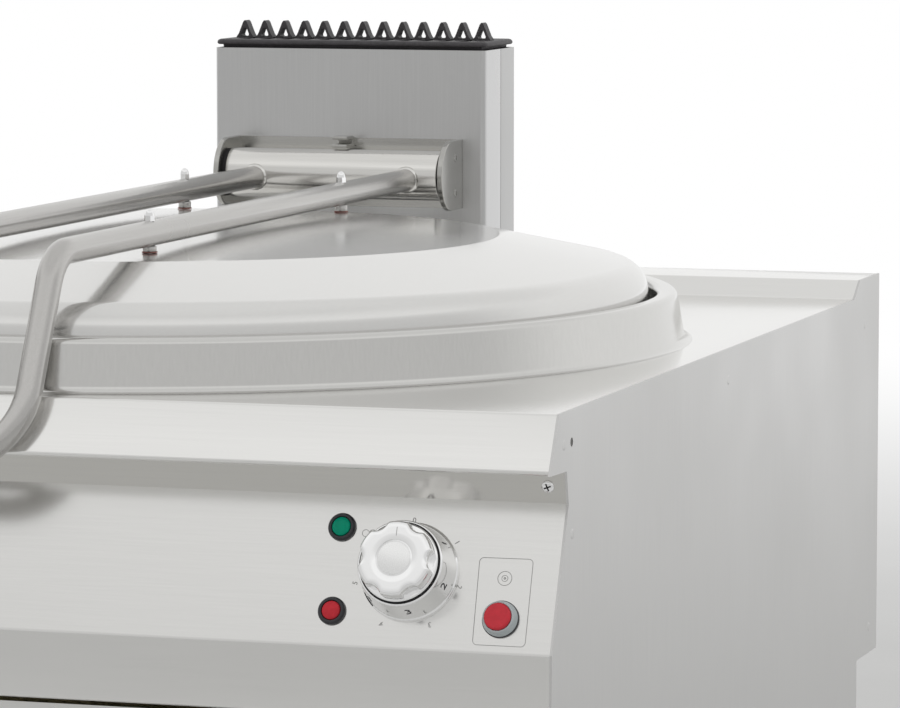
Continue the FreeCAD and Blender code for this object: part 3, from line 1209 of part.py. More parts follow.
def tooth_sketch(body, middle):
    """A triangle with a triangular hole, standing on the grille's plate."""
    sketch = body_sketch(body, "grille_tooth_outline", "XZ_Plane")
    foot = "grille_thickness"
    outer = [("%s - tooth_half_width" % middle, "grille_thickness - 1"),
             ("%s + tooth_half_width" % middle, "grille_thickness - 1"),
             (middle, "%s + tooth_height" % foot)]
    inner = [("%s - tooth_hole_half_width" % middle, foot + " + 0.6"),
             ("%s + tooth_hole_half_width" % middle, foot + " + 0.6"),
             (middle, "%s + tooth_hole_height + 0.6" % foot)]
    for first, triangle in ((0, outer), (3, inner)):
        corners = [Vector(guess(x), guess(z), 0) for x, z in triangle]
        for index in range(3):
            sketch.addGeometry(Part.LineSegment(corners[index], corners[(index + 1) % 3]), False)
        for index in range(3):
            following = first + (index + 1) % 3
            sketch.addConstraint(Sketcher.Constraint("Coincident", first + index, 2, following, 1))
        for index in range(3):
            pin_point(sketch, first + index, str(first + index), triangle[index])
    return sketch


# Lid hinge

def make_hinge():
    behind = "flue_front - bracket_sheet"
    bottom = "hinge_height - cheek_radius"
    back_plate = box("bracket_plate", ("-cheek_inner - cheek_thickness", behind, bottom),
                     ("2 * (cheek_inner + cheek_thickness)", "bracket_sheet", "2 * cheek_radius"))
    parts = [back_plate]
    for side, x in (("left", "-cheek_inner - cheek_thickness"), ("right", "cheek_inner")):
        parts.append(rod("cheek_round_" + side, "cheek_radius", "cheek_thickness",
                         (x, "hinge_reach", "hinge_height"), "x"))
        parts.append(box("cheek_web_" + side, (x, "hinge_reach", bottom),
                         ("cheek_thickness", "flue_front - hinge_reach", "2 * cheek_radius")))
    parts.append(box("stop_tab", ("-stop_half_width", "hinge_reach - stop_half_width",
                                  "hinge_height + hinge_tube_radius + stop_gap"),
                     ("2 * stop_half_width", "flue_front - hinge_reach + stop_half_width", "stop_thickness")))
    seat("hinge_bracket", fuse("bracket_solid", parts))

    seat("hinge_axle", rod("axle_rod", "axle_radius", "2 * cheek_inner",
                           ("-cheek_inner", "hinge_reach", "hinge_height"), "x"))
    seat("hinge_tube", tube("hinge_sleeve", "hinge_tube_radius", "hinge_tube_wall", "2 * hinge_half_length",
                            ("-hinge_half_length", "hinge_reach", "hinge_height"), "x"))
    bushes = []
    for side, x in (("left", "-hinge_half_length"), ("right", "hinge_half_length - bush_length")):
        bushes.append(tube("bush_" + side, "hinge_bore_radius",
                           "(hinge_bore_radius - axle_radius - running_gap)", "bush_length",
                           (x, "hinge_reach", "hinge_height"), "x"))
    seat("hinge_bushes", group("bush_pair", bushes))
    length = 2 * (size("hinge_half_length") - size("bush_length") - size("spring_wire") - size("seat_gap"))
    spring = coil(size("spring_radius"), size("spring_wire"), size("spring_turns"), length, Vector(0, 0, 0))
    spring.rotate(Vector(0, 0, 0), Vector(0, 1, 0), 90)
    spring.translate(Vector(-length / 2, size("hinge_reach"), size("hinge_height")))
    seat("balance_spring", plain_shape("spring_coil", spring))


def make_screws():
    """The strip's two screws and the four in the hinge's cheeks."""
    screws = []
    for side, across in (("left", "-strip_screw_spread"), ("right", "strip_screw_spread")):
        head = rod("strip_head_" + side, "screw_head_radius", "screw_head_height", ("0", "0", "0"))
        turn(head, "90 deg + strip_slope")
        move(head, strip_screw_place(across, "0"))
        shank = rod("strip_shank_" + side, "screw_radius", "screw_length", ("0", "0", "0"))
        turn(shank, "90 deg + strip_slope")
        move(shank, strip_screw_place(across, "screw_length"))
        screws.append(fuse("strip_screw_" + side, [head, shank]))
    outer = "cheek_inner + cheek_thickness"
    for side, x in (("left", "-%s - screw_head_height" % outer.replace("+", "-")), ("right", outer)):
        for level, way in (("upper", "+"), ("lower", "-")):
            place = (x, "hinge_reach + cheek_screw_back", "hinge_height %s cheek_screw_offset" % way)
            screws.append(rod("cheek_screw_%s_%s" % (level, side), "screw_head_radius",
                              "screw_head_height", place, "x"))
    seat("machine_screws", group("screw_set", screws))


# Lid and handle

def lid_form(name, inset, bottom):
    """The lid's outer form, or its hollow when inset by the sheet."""
    body = doc.addObject("PartDesign::Body", name)
    sketch = body_sketch(body, name + "_outline", "XZ_Plane")
    points = [("0", bottom), ("lid_rim_radius - %s" % inset, bottom),
              ("lid_edge_radius - %s" % inset, "lid_edge_height - %s" % inset),
              ("lid_shoulder_radius", "lid_shoulder_height - %s" % inset),
              ("0", "lid_crown_height - %s" % inset)]
    corners = [Vector(guess(x), guess(z), 0) for x, z in points]
    fall = (corners[4].y - corners[3].y) / 4
    crown_middle = Vector(corners[3].x / 2, corners[4].y - fall, 0)
    sketch.addGeometry([
        Part.LineSegment(corners[0], corners[1]),
        Part.LineSegment(corners[1], corners[2]),
        Part.LineSegment(corners[2], corners[3]),
        Part.Arc(corners[3], crown_middle, corners[4]),
        Part.LineSegment(corners[4], corners[0]),
    ], False)
    for index in range(5):
        following = (index + 1) % 5
        joint = corners[following]
        sketch.addConstraint(Sketcher.Constraint("Coincident", index, nearest_end(sketch, index, joint),
                                                 following, nearest_end(sketch, following, joint)))
    for index in range(5):
        pin_point(sketch, index, str(index), points[index], nearest_end(sketch, index, corners[index]))
    sketch.addConstraint(Sketcher.Constraint("PointOnObject", 3, 3, -2))
    turned = body.newObject("PartDesign::Revolution", name + "_turned")
    turned.Profile = sketch
    turned.ReferenceAxis = (sketch, ["V_Axis"])
    turned.Angle = 360
    return body


def nearest_end(sketch, index, corner):
    """Which end of a line or arc lies at a corner: 1 for its start and 2 for its end."""
    start = sketch.Geometry[index].StartPoint
    end = sketch.Geometry[index].EndPoint
    return 1 if (start - corner).Length < (end - corner).Length else 2


def stud_places():
    """Name, place across and back, and height of the washer of each stud."""
    for name_y, y, height in (("front", "-front_stud_reach", "front_washer_height"),
                              ("rear", "rear_stud_reach", "rear_washer_height")):
        for name_x, x in (("left", "-arm_spread"), ("right", "arm_spread")):
            yield name_y + "_" + name_x, x, y, height


def make_lid():
    outside = lid_form("lid_outside", "0", "rim_height + lid_seat_gap")
    round_edge(outside, "lid_edge_fillet", "lid_edge_round")
    inside = lid_form("lid_inside", "lid_sheet", "rim_height - 1")
    round_edge(inside, "lid_hollow_fillet", "lid_edge_round - lid_sheet")
    holes = []
    for name, x, y, height in stud_places():
        holes.append(rod(name + "_lid_hole", "stud_shank_radius + stud_hole_gap", "lid_crown_height",
                         (x, y, "rim_height")))
    seat("lid_shell", cut("lid_cut", outside, [inside] + holes))

    studs, washers, nuts = [], [], []
    for name, x, y, height in stud_places():
        seat_height = "%s + washer_thickness" % height
        nut_bottom = "%s - 2.6 * inner_nut_height" % height
        shoulder = rod(name + "_shoulder", "stud_radius", "arm_underside - %s" % seat_height.replace("+", "-"),
                       (x, y, seat_height))
        shank_bottom = "%s - 3 * inner_nut_height" % height
        shank = rod(name + "_shank", "stud_shank_radius",
                    "arm_top - %s + nut_height / 2 + 3 * inner_nut_height" % height, (x, y, shank_bottom))
        inner_nut = rod(name + "_inner_nut", "nut_radius", "inner_nut_height", (x, y, nut_bottom))
        studs.append(fuse(name + "_stud", [shoulder, shank, inner_nut]))
        washers.append(tube(name + "_washer", "washer_radius", "(washer_radius - stud_shank_radius)",
                            "washer_thickness", (x, y, height)))
        dome = lathe_body(name + "_dome_nut", [
            ("stud_shank_radius", "0"),
            ("nut_radius", "0"),
            ("nut_radius", "nut_height * 0.5"),
            ("nut_radius * 0.8", "nut_height * 0.8"),
            ("nut_radius * 0.3", "nut_height"),
            ("0", "nut_height"),
            ("0", "nut_height / 2"),
            ("stud_shank_radius", "nut_height / 2"),
        ])
        move(dome, (x, y, "arm_top"))
        nuts.append(dome)
    seat("lid_studs", group("stud_set", studs))
    seat("stud_washers", group("washer_set", washers))
    seat("dome_nuts", group("nut_set", nuts))


def round_edge(body, name, radius):
    """Rounds the lid's outer edge, the widest circle above its rim."""
    doc.recompute()
    base = body.Tip
    circles = []
    for index, edge in enumerate(base.Shape.Edges, start=1):
        if edge.Degenerated or not isinstance(edge.Curve, Part.Circle):
            continue
        if edge.Closed and edge.Curve.Center.z > size("rim_height") + 10:
            circles.append((edge.Curve.Radius, index))
    widest = max(circles)[1]
    fillet = body.newObject("PartDesign::Fillet", name)
    fillet.Base = (base, ["Edge%d" % widest])
    bind(fillet, "Radius", radius)


def make_handle():
    lean = math.radians(size("handle_lean"))
    down = Vector(0, -math.sin(lean), -math.cos(lean))
    start = Vector(size("arm_spread"), size("hinge_reach"), size("arm_height"))
    bend = Vector(size("arm_spread"), -size("handle_bend_reach"), size("arm_height"))
    corner = bend + down * (size("handle_leg") + size("handle_turn_radius"))
    right = [start, bend, corner]
    left = [Vector(-point.x, point.y, point.z) for point in reversed(right)]
    radii = [size("handle_bend_radius"), size("handle_turn_radius"),
             size("handle_turn_radius"), size("handle_bend_radius")]
    shape = bent_tube(right + left, radii, size("handle_radius"), size("handle_wall"))
    hinge_end = Vector(-2 * size("arm_spread"), size("hinge_reach"), size("hinge_height"))
    shape = shape.cut(Part.makeCylinder(size("hinge_tube_radius"), 4 * size("arm_spread"),
                                        hinge_end, Vector(1, 0, 0)))
    for name, x, y, height in stud_places():
        place = Vector(guess(x), guess(y), 0)
        shape = shape.cut(Part.makeCylinder(size("stud_shank_radius") + size("stud_hole_gap"),
                                            2 * size("arm_height"), place))
    seat("handle_tube", plain_shape("handle_bent_tube", shape))


# Controls

def make_knob():
    ring = lathe_body("dial_ring", [
        ("bezel_hole_radius", "0"),
        ("bezel_radius", "0"),
        ("bezel_radius", "bezel_edge"),
        ("bezel_mouth_radius", "bezel_height"),
        ("bezel_bore_radius", "bezel_height"),
        ("bezel_bore_radius", "bezel_floor"),
        ("bezel_hole_radius", "bezel_floor"),
    ])
    seat_on_panel("knob_dial_ring", ring, "knob_across", "knob_down")
    cap = lathe_body("knob_form", [
        ("0", "knob_bottom"),
        ("knob_skirt_radius", "knob_bottom"),
        ("knob_skirt_radius", "knob_skirt_top"),
        ("knob_radius", "knob_skirt_top"),
        ("knob_radius", "knob_height - knob_chamfer"),
        ("knob_radius - knob_chamfer", "knob_height"),
        ("0", "knob_height"),
    ])
    hollows = [rod("knob_shaft_hole", "shaft_radius", "shaft_top", ("0", "0", "0"))]
    count = int(size("scallop_count"))
    for index in range(count):
        angle = "%s * 360 deg / scallop_count" % (index + 0.5)
        hollows.append(rod("knob_hollow_%d" % index, "scallop_radius", "knob_height",
                           ("scallop_reach * sin(%s)" % angle, "scallop_reach * cos(%s)" % angle,
                            "knob_skirt_top")))
    seat_on_panel("knob", cut("knob_cut", cap, hollows), "knob_across", "knob_down")
    seat_on_panel("regulator_shaft", rod("shaft_rod", "shaft_radius", "shaft_top + shaft_bottom",
                                         ("0", "0", "-shaft_bottom")), "knob_across", "knob_down")
    housing = box("regulator_box",
                  ("-regulator_side / 2", "-regulator_side / 2", "-panel_sheet - regulator_depth"),
                  ("regulator_side", "regulator_side", "regulator_depth"))
    neck = rod("regulator_neck", "regulator_neck_radius", "regulator_neck_height + panel_sheet",
               ("0", "0", "-panel_sheet"))
    nut = rod("regulator_nut", "regulator_nut_radius", "regulator_nut_height", ("0", "0", "0"))
    bore = rod("regulator_bore", "shaft_radius + running_gap", "shaft_bottom + regulator_neck_height + 1",
               ("0", "0", "-shaft_bottom - 1"))
    regulator = cut("regulator_cut", fuse("regulator_solid", [housing, neck, nut]), [bore])
    seat_on_panel("energy_regulator", regulator, "knob_across", "knob_down")


def lamp_holder(name):
    bezel = rod(name + "_bezel", "lamp_radius", "lamp_height", ("0", "0", "0"))
    body = rod(name + "_body", "lamp_body_radius", "lamp_body_depth", ("0", "0", "-lamp_body_depth"))
    pocket = rod(name + "_pocket", "lens_radius + lens_gap", "lamp_height", ("0", "0", "lens_floor"))
    return cut(name + "_holder", fuse(name + "_solid", [bezel, body]), [pocket])


def make_lamps():
    holders = []
    for colour, down in (("green", "upper_lamp_down"), ("red", "lower_lamp_down")):
        holder = lamp_holder(colour)
        move(holder, ("0", "upper_lamp_down - " + down, "0"))
        holders.append(holder)
        lens = lathe_body(colour + "_lens_form", [
            ("0", "lens_floor"),
            ("lens_radius", "lens_floor"),
            ("lens_radius", "lamp_height"),
            ("lens_radius * 0.8", "lens_height - 0.4"),
            ("0", "lens_height"),
        ])
        seat_on_panel(colour + "_lens", lens, "lamp_across", down)
    seat_on_panel("lamp_holders", group("lamp_holder_pair", holders), "lamp_across", "upper_lamp_down")


def make_button():
    ring = lathe_body("button_ring_form", [
        ("button_radius + button_gap", "0"),
        ("button_ring_radius", "0"),
        ("button_ring_radius", "button_ring_height / 5"),
        ("button_ring_top_radius", "button_ring_height"),
        ("button_radius + button_gap", "button_ring_height"),
    ])
    seat_on_panel("button_ring", ring, "button_across", "button_down")
    head = rod("button_head", "button_radius", "button_height - button_floor", ("0", "0", "button_floor"))
    stem = rod("button_stem", "button_stem_radius", "button_stem_bottom + button_floor + 1",
               ("0", "0", "-button_stem_bottom"))
    seat_on_panel("push_button", fuse("button_solid", [head, stem]), "button_across", "button_down")
    housing = box("switch_box", ("-switch_side / 2", "-switch_side / 2", "-panel_sheet - switch_depth"),
                  ("switch_side", "switch_side", "switch_depth"))
    pocket = rod("switch_pocket", "button_radius + button_gap", "switch_pocket", ("0", "0", "-switch_pocket"))
    bore = rod("switch_bore", "button_stem_radius + running_gap", "button_stem_bottom + button_travel + 1",
               ("0", "0", "-button_stem_bottom - button_travel - 1"))
    seat_on_panel("button_switch", cut("switch_cut", housing, [pocket, bore]), "button_across", "button_down")
    gap = size("button_spring_wire")
    length = size("button_floor") + size("switch_pocket") - 2 * gap
    spring = coil(size("button_spring_radius"), gap, size("button_spring_turns"), length,
                  Vector(0, 0, gap - size("switch_pocket")))
    seat_on_panel("button_spring", plain_shape("button_coil", spring), "button_across", "button_down")


def make_electrics():
    face = "component_face"
    plate = box("plate_sheet", (face, "-front_post_reach", "-plate_top_drop - plate_height"),
                ("plate_thickness", "plate_depth", "plate_height"))
    seat("component_plate", plate)
    front = "rail_side - front_post_reach"
    contactors = []
    for index in range(2):
        low = ("%s - contactor_depth" % face, "%s + %d * contactor_pitch" % (front, index),
               "-plate_top_drop - 1.2 * contactor_height")
        contactors.append(box("contactor_%d" % (index + 1), low,
                              ("contactor_depth", "contactor_width", "contactor_height")))
    seat("contactors", group("contactor_pair", contactors))
    terminals = []
    for index in range(int(size("terminal_count"))):
        low = ("%s - terminal_depth" % face, "%s + %d * terminal_pitch" % (front, index),
               "-plate_top_drop - plate_height + terminal_height / 2")
        terminals.append(box("terminal_%d" % (index + 1), low,
                             ("terminal_depth", "terminal_width", "terminal_height")))
    seat("terminal_block", group("terminal_row", terminals))


def build():
    fill_sheet()
    make_worktop()
    make_side_panels()
    make_front_strip()
    make_control_panel()
    make_front_panel()
    make_back_panel()
    make_base_panel()
    make_frame()
    make_legs()
    make_collar()
    make_pot()
    make_strainer()
    make_jacket()
    make_heating()
    make_drain()
    make_services()
    make_flue()
    make_grille()
    make_hinge()
    make_screws()
    make_lid()
    make_handle()
    make_knob()
    make_lamps()
    make_button()
    make_electrics()
    doc.recompute()


def check():
    for thing in doc.Objects:
        if "Invalid" in thing.State or "Error" in thing.State:
            raise RuntimeError("%s failed: %s" % (thing.Name, thing.State))
    for thing in SUB_PARTS:
        if thing.Shape.isNull() or not thing.Shape.isValid() or not thing.Shape.Solids:
            raise RuntimeError("%s has no valid shape" % thing.Label)


def write():
    os.makedirs("parts", exist_ok=True)
    for thing in SUB_PARTS:
        thing.Shape.exportStep("parts/%s.step" % thing.Label)
        bounds = thing.Shape.BoundBox
        print("%-18s solids %2d  volume %10.0f  z %.1f to %.1f" % (
            thing.Label, len(thing.Shape.Solids), thing.Shape.Volume, bounds.ZMin, bounds.ZMax))


build()
check()
write()
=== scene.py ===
import math

import bmesh
import bpy
from mathutils import Matrix, Vector


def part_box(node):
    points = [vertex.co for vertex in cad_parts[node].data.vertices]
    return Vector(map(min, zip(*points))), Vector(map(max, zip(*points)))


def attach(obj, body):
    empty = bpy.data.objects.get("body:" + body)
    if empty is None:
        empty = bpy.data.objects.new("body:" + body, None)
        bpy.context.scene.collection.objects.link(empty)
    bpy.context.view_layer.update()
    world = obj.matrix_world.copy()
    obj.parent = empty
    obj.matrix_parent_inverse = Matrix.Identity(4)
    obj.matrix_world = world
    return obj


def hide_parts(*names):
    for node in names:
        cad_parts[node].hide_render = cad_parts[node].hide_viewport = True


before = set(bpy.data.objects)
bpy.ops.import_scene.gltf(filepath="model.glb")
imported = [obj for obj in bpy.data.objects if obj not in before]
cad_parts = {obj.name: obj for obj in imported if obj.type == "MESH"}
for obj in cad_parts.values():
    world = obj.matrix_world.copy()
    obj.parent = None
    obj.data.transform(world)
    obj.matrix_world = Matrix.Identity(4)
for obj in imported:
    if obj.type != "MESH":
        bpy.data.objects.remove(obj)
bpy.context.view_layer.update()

# Points are written in millimetres in the kettle's own frame: X right, Y back, Z up, origin where
# the pot's axis crosses the worktop. place() turns them into metres in the row frame.
COLLAR_LOW, COLLAR_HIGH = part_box("collar")
ORIGIN = Vector((0.0, (COLLAR_LOW.y + COLLAR_HIGH.y) / 2, COLLAR_LOW.z))


def place(x, y, z):
    return ORIGIN + Vector((x, y, z)) / 1000


# Sizes shared with the solids
HALF_WIDTH = 400.0
PANEL_SHEET = 1.5
INNER_HALF = HALF_WIDTH - PANEL_SHEET
STRIP_TOP = (-360.5, -36.5)
PANEL_TOP = (-356.0, -57.0)
CREASE = (-392.0, -144.5)
SLOPE = math.atan2(PANEL_TOP[0] - CREASE[0], PANEL_TOP[1] - CREASE[1])
DOWN = Vector((0, -math.sin(SLOPE), -math.cos(SLOPE)))
OUT = Vector((0, -math.cos(SLOPE), math.sin(SLOPE)))
FRONT_PANEL_Y = -374.0
LID_TOP = 75.0
HINGE_Y, HINGE_Z = 391.0, 88.5
CHEEK_R, CHEEK_INNER, CHEEK_SHEET = 26.5, 88.1, 4.0
ARM_X, ARM_Z = 61.0, 86.0
TUBE_R = 8.5
STUDS = ((-175.0, 73.35), (218.5, 72.38))  # place along Y, and height of the washer's underside
FLUE_HALF, FLUE_FRONT, FLUE_REAR = 110.0, 419.0, 497.0
FLUE_LOW, FLUE_TOP = -48.0, 183.0
KNOB_AT, BUTTON_AT = (305.0, 47.0), (365.5, 73.6)
LAMP_ACROSS = 258.0
DIAL_STEP = math.radians(-56)
TAP_Y, DRAIN_Z = -418.0, -492.0
FLOOR_Z = -900.0


# Materials

def socket(node, name, value):
    node.inputs[name].default_value = value


class Shader:
    """A short way to write a node tree around one Principled shader."""

    def __init__(self, name, colour, metallic, roughness):
        self.material = bpy.data.materials.new(name)
        self.material.use_nodes = True
        self.tree = self.material.node_tree
        self.shader = self.tree.nodes["Principled BSDF"]
        socket(self.shader, "Base Color", (*colour, 1))
        socket(self.shader, "Metallic", metallic)
        socket(self.shader, "Roughness", roughness)
        self.colour = colour
        self.normal = None

    def node(self, kind, **inputs):
        made = self.tree.nodes.new(kind)
        for name, value in inputs.items():
            name = name.replace("_", " ")
            if isinstance(value, bpy.types.NodeSocket):
                self.tree.links.new(value, made.inputs[name])
            else:
                socket(made, name, value)
        return made

    def link(self, out, into):
        self.tree.links.new(out, into)

    def coordinates(self, scale, rotation=(0, 0, 0)):
        source = self.node("ShaderNodeTexCoord")
        mapping = self.node("ShaderNodeMapping", Scale=scale, Rotation=rotation)
        self.link(source.outputs["Object"], mapping.inputs["Vector"])
        return mapping.outputs["Vector"]

    def noise(self, scale, stretch=(1, 1, 1), detail=3.0, rotation=(0, 0, 0)):
        made = self.node("ShaderNodeTexNoise", Scale=scale, Detail=detail, Roughness=0.6)
        self.link(self.coordinates(stretch, rotation), made.inputs["Vector"])
        return made.outputs["Fac"]

    def ramp(self, value, low, high, start=0.3, end=0.7):
        made = self.node("ShaderNodeMapRange", Value=value)
        for name, number in (("From Min", start), ("From Max", end), ("To Min", low), ("To Max", high)):
            socket(made, name, number)
        return made.outputs["Result"]

    def tint(self, value, low, high, start=0.3, end=0.7):
        """Base colour between two shades of itself."""
        mix = self.tree.nodes.new("ShaderNodeMix")
        mix.data_type = "RGBA"
        mix.inputs[6].default_value = (*[c * low for c in self.colour], 1)
        mix.inputs[7].default_value = (*[min(1, c * high) for c in self.colour], 1)
        self.link(self.ramp(value, 0, 1, start, end), mix.inputs[0])
        self.link(mix.outputs[2], self.shader.inputs["Base Color"])

    def rough(self, value, low, high, start=0.3, end=0.7):
        self.link(self.ramp(value, low, high, start, end), self.shader.inputs["Roughness"])

    def bump(self, height, strength, distance):
        made = self.node("ShaderNodeBump", Height=height, Strength=strength, Distance=distance)
        if self.normal is not None:
            self.link(self.normal, made.inputs["Normal"])
        self.normal = made.outputs["Normal"]
        self.link(self.normal, self.shader.inputs["Normal"])


BRUSH_DEPTH = 0.00002
MOULD_GRAIN, MOULD_DEPTH = 1500, 0.00003


def brushed(name, colour, roughness, along, lines=900, contrast=0.03, wave=0.0, relief=0.25):
    """Steel with fine brush lines along one axis and a slow change of gloss."""
    made = Shader(name, colour, 1.0, roughness)
    stretch = {"x": (0.012, 1, 1), "y": (1, 0.012, 1), "z": (1, 1, 0.012)}[along]
    grain = made.noise(lines, stretch, detail=2.0)
    cloud = made.noise(5.0, detail=2.0)
    made.tint(grain, 1 - contrast, 1 + contrast)
    made.rough(cloud, roughness * 0.85, roughness * 1.15)
    made.bump(grain, relief, BRUSH_DEPTH)
    if wave:
        made.bump(made.noise(2.2, detail=1.0), 0.3, wave)
    return made


def moulded(name, colour, roughness):
    """Plastic with a fine moulded texture."""
    made = Shader(name, colour, 0.0, roughness)
    speck = made.noise(MOULD_GRAIN, detail=2.0)
    made.tint(speck, 0.94, 1.06)
    made.rough(speck, roughness * 0.9, roughness * 1.1)
    made.bump(speck, 0.3, MOULD_DEPTH)
    return made


def rings_on(made, spots, radius, width):
    """Faint round marks, as spot welds leave, at points given in metres."""
    source = made.node("ShaderNodeTexCoord")
    total = None
    for spot in spots:
        away = made.tree.nodes.new("ShaderNodeVectorMath")
        away.operation = "DISTANCE"
        made.link(source.outputs["Object"], away.inputs[0])
        away.inputs[1].default_value = spot
        mark = made.node("ShaderNodeMapRange", Value=away.outputs["Value"])
        edges = (("From Min", radius), ("From Max", radius + width), ("To Min", 1), ("To Max", 0))
        for name, amount in edges:
            socket(mark, name, amount)
        mark.interpolation_type = "SMOOTHSTEP"
        if total is None:
            total = mark.outputs["Result"]
        else:
            most = made.tree.nodes.new("ShaderNodeMath")
            most.operation = "MAXIMUM"
            made.link(total, most.inputs[0])
            made.link(mark.outputs["Result"], most.inputs[1])
            total = most.outputs["Value"]
    made.bump(total, 0.6, 0.0004)


MATERIALS = {}
STEELS = {
    "worktop": ((0.815, 0.81, 0.795), 0.15, "x", {"contrast": 0.012, "wave": 0.0006, "relief": 0.12}),
    "strip": ((0.58, 0.57, 0.545), 0.12, "x", {"contrast": 0.015, "relief": 0.12}),
    "control": ((0.79, 0.785, 0.77), 0.20, "x",
                {"lines": 1400, "contrast": 0.015, "wave": 0.0004, "relief": 0.12}),
    "side": ((0.63, 0.627, 0.62), 0.38, "z", {"lines": 1200, "contrast": 0.02}),
    "front": ((0.74, 0.735, 0.72), 0.28, "x", {"wave": 0.0006}),
    "back": ((0.64, 0.635, 0.62), 0.42, "z", {}),
    "frame": ((0.50, 0.495, 0.48), 0.45, "z", {}),
    "collar": ((0.66, 0.655, 0.64), 0.16, "z", {"lines": 700, "contrast": 0.015, "wave": 0.0004}),
    "lid": ((0.745, 0.74, 0.728), 0.14, "y", {"lines": 700, "contrast": 0.01}),
    "pot": ((0.68, 0.67, 0.65), 0.24, "z", {}),
    "tube": ((0.53, 0.52, 0.505), 0.24, "y", {"lines": 1100}),
    "hinge": ((0.76, 0.75, 0.725), 0.17, "x", {"lines": 1100}),
    "bracket": ((0.48, 0.475, 0.455), 0.20, "x", {}),
    "flue": ((0.60, 0.60, 0.60), 0.30, "z", {"lines": 1300, "contrast": 0.02}),
    "foot": ((0.70, 0.695, 0.68), 0.30, "z", {}),
    "spring": ((0.40, 0.40, 0.41), 0.35, "x", {}),
}
SIDE_MARKS = ((-366.6, -19.9), (-348.4, -76.2), (35.2, -21.4), (455.3, -22.1), (476.5, -256.9))
SIDE_MARK_R, SIDE_MARK_WIDTH = 0.0022, 0.0012


def make_materials():
    m = MATERIALS
    for name, (colour, roughness, along, other) in STEELS.items():
        steel = brushed(name + "_steel_look", colour, roughness, along, **other)
        if name == "side":
            spots = [place(x, y, z) for x in (-HALF_WIDTH, HALF_WIDTH) for y, z in SIDE_MARKS]
            rings_on(steel, spots, SIDE_MARK_R, SIDE_MARK_WIDTH)
        if name == "lid":
            socket(steel.shader, "Metallic", 0.82)
        m[name] = steel.material
    m["flue_side"] = brushed("flue_channel_look", (0.47, 0.47, 0.466), 0.34, "z",
                             lines=1300, contrast=0.02).material

    chrome = Shader("chrome_look", (0.93, 0.93, 0.93), 1.0, 0.06)
    chrome.rough(chrome.noise(60.0), 0.04, 0.09)
    m["chrome"] = chrome.material
    satin = Shader("satin_chrome_look", (0.89, 0.89, 0.885), 1.0, 0.28)
    satin.rough(satin.noise(2400.0), 0.20, 0.32)
    m["satin"] = satin.material
    tap = Shader("tap_chrome_look", (0.80, 0.80, 0.79), 1.0, 0.14)
    tap.rough(tap.noise(40.0), 0.10, 0.20)
    tap.bump(tap.noise(260.0), 0.2, 0.00006)
    m["tap"] = tap.material
    brass = Shader("brass_look", (0.72, 0.56, 0.27), 1.0, 0.30)
    brass.rough(brass.noise(120.0), 0.22, 0.40)
    brass.tint(brass.noise(30.0), 0.85, 1.1)
    m["brass"] = brass.material
    bronze = Shader("bronze_look", (0.50, 0.33, 0.18), 1.0, 0.45)
    bronze.tint(bronze.noise(600.0), 0.85, 1.15)
    m["bronze"] = bronze.material
    copper = Shader("washer_look", (0.27, 0.11, 0.09), 0.3, 0.5)
    copper.tint(copper.noise(400.0), 0.85, 1.15)
    m["washer"] = copper.material

    cast = Shader("cast_iron_look", (0.034, 0.031, 0.034), 0.0, 0.50)
    rough_cast = cast.noise(420.0, detail=5.0)
    cast.tint(rough_cast, 0.7, 1.5)
    cast.rough(rough_cast, 0.42, 0.6)
    cast.bump(rough_cast, 0.5, 0.0003)
    m["cast"] = cast.material
    m["black"] = moulded("black_plastic_look", (0.018, 0.018, 0.022), 0.35).material
    m["grey"] = moulded("grey_plastic_look", (0.42, 0.46, 0.47), 0.38).material
    m["beige"] = moulded("beige_plastic_look", (0.60, 0.57, 0.48), 0.5).material
    # Near-black plastic for sheets put into narrow gaps and recesses: painted shade.
    m["painted_shade"] = moulded("painted_gap_shade_look", (0.010, 0.010, 0.011), 0.7).material
    m["ink"] = moulded("ink_look", (0.035, 0.035, 0.04), 0.6).material
    m["faint_ink"] = moulded("faint_ink_look", (0.27, 0.27, 0.26), 0.6).material

    for name, colour in (("green", (0.001, 0.270, 0.160)), ("red", (0.50, 0.030, 0.042))):
        lens = Shader(name + "_lens_look", colour, 0.0, 0.25)
        lens.tint(lens.noise(160.0), 0.85, 1.15)
        lens.bump(lens.noise(900.0), 0.15, 0.00005)
        socket(lens.shader, "Specular IOR Level", 0.1)
        m[name] = lens.material
    button = Shader("button_red_look", (0.51, 0.028, 0.042), 0.0, 0.3)
    button.tint(button.noise(220.0), 0.92, 1.1)
    button.bump(button.noise(1600.0), 0.15, 0.00003)
    socket(button.shader, "Specular IOR Level", 0.25)
    m["button"] = button.material

    wool = Shader("wool_look", (0.55, 0.47, 0.27), 0.0, 0.95)
    fibres = wool.noise(140.0, (1, 1, 3), detail=6.0)
    wool.tint(fibres, 0.7, 1.25)
    wool.bump(fibres, 0.8, 0.003)
    m["wool"] = wool.material


# Mesh helpers

def finish_mesh(obj, material, body, replaced=(), smooth=35.0, bevel=0.0):
    mesh = obj.data
    work = bmesh.new()
    work.from_mesh(mesh)
    bmesh.ops.remove_doubles(work, verts=work.verts, dist=1e-7)
    bmesh.ops.recalc_face_normals(work, faces=work.faces)
    work.to_mesh(mesh)
    work.free()
    mesh.materials.clear()
    mesh.materials.append(MATERIALS[material])
    mesh.polygons.foreach_set("use_smooth", [True] * len(mesh.polygons))
    mesh.set_sharp_from_angle(angle=math.radians(smooth))
    if bevel:
        rounding = obj.modifiers.new("edge", "BEVEL")
        rounding.width = bevel / 1000
        rounding.segments = 3
        rounding.limit_method = "ANGLE"
        rounding.angle_limit = math.radians(30)
        rounding.harden_normals = True
    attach(obj, body)
    if replaced:
        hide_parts(*replaced)
    return obj


def linked(name, data):
    """A new object in the scene."""
    obj = bpy.data.objects.new(name, data)
    bpy.context.scene.collection.objects.link(obj)
    return obj


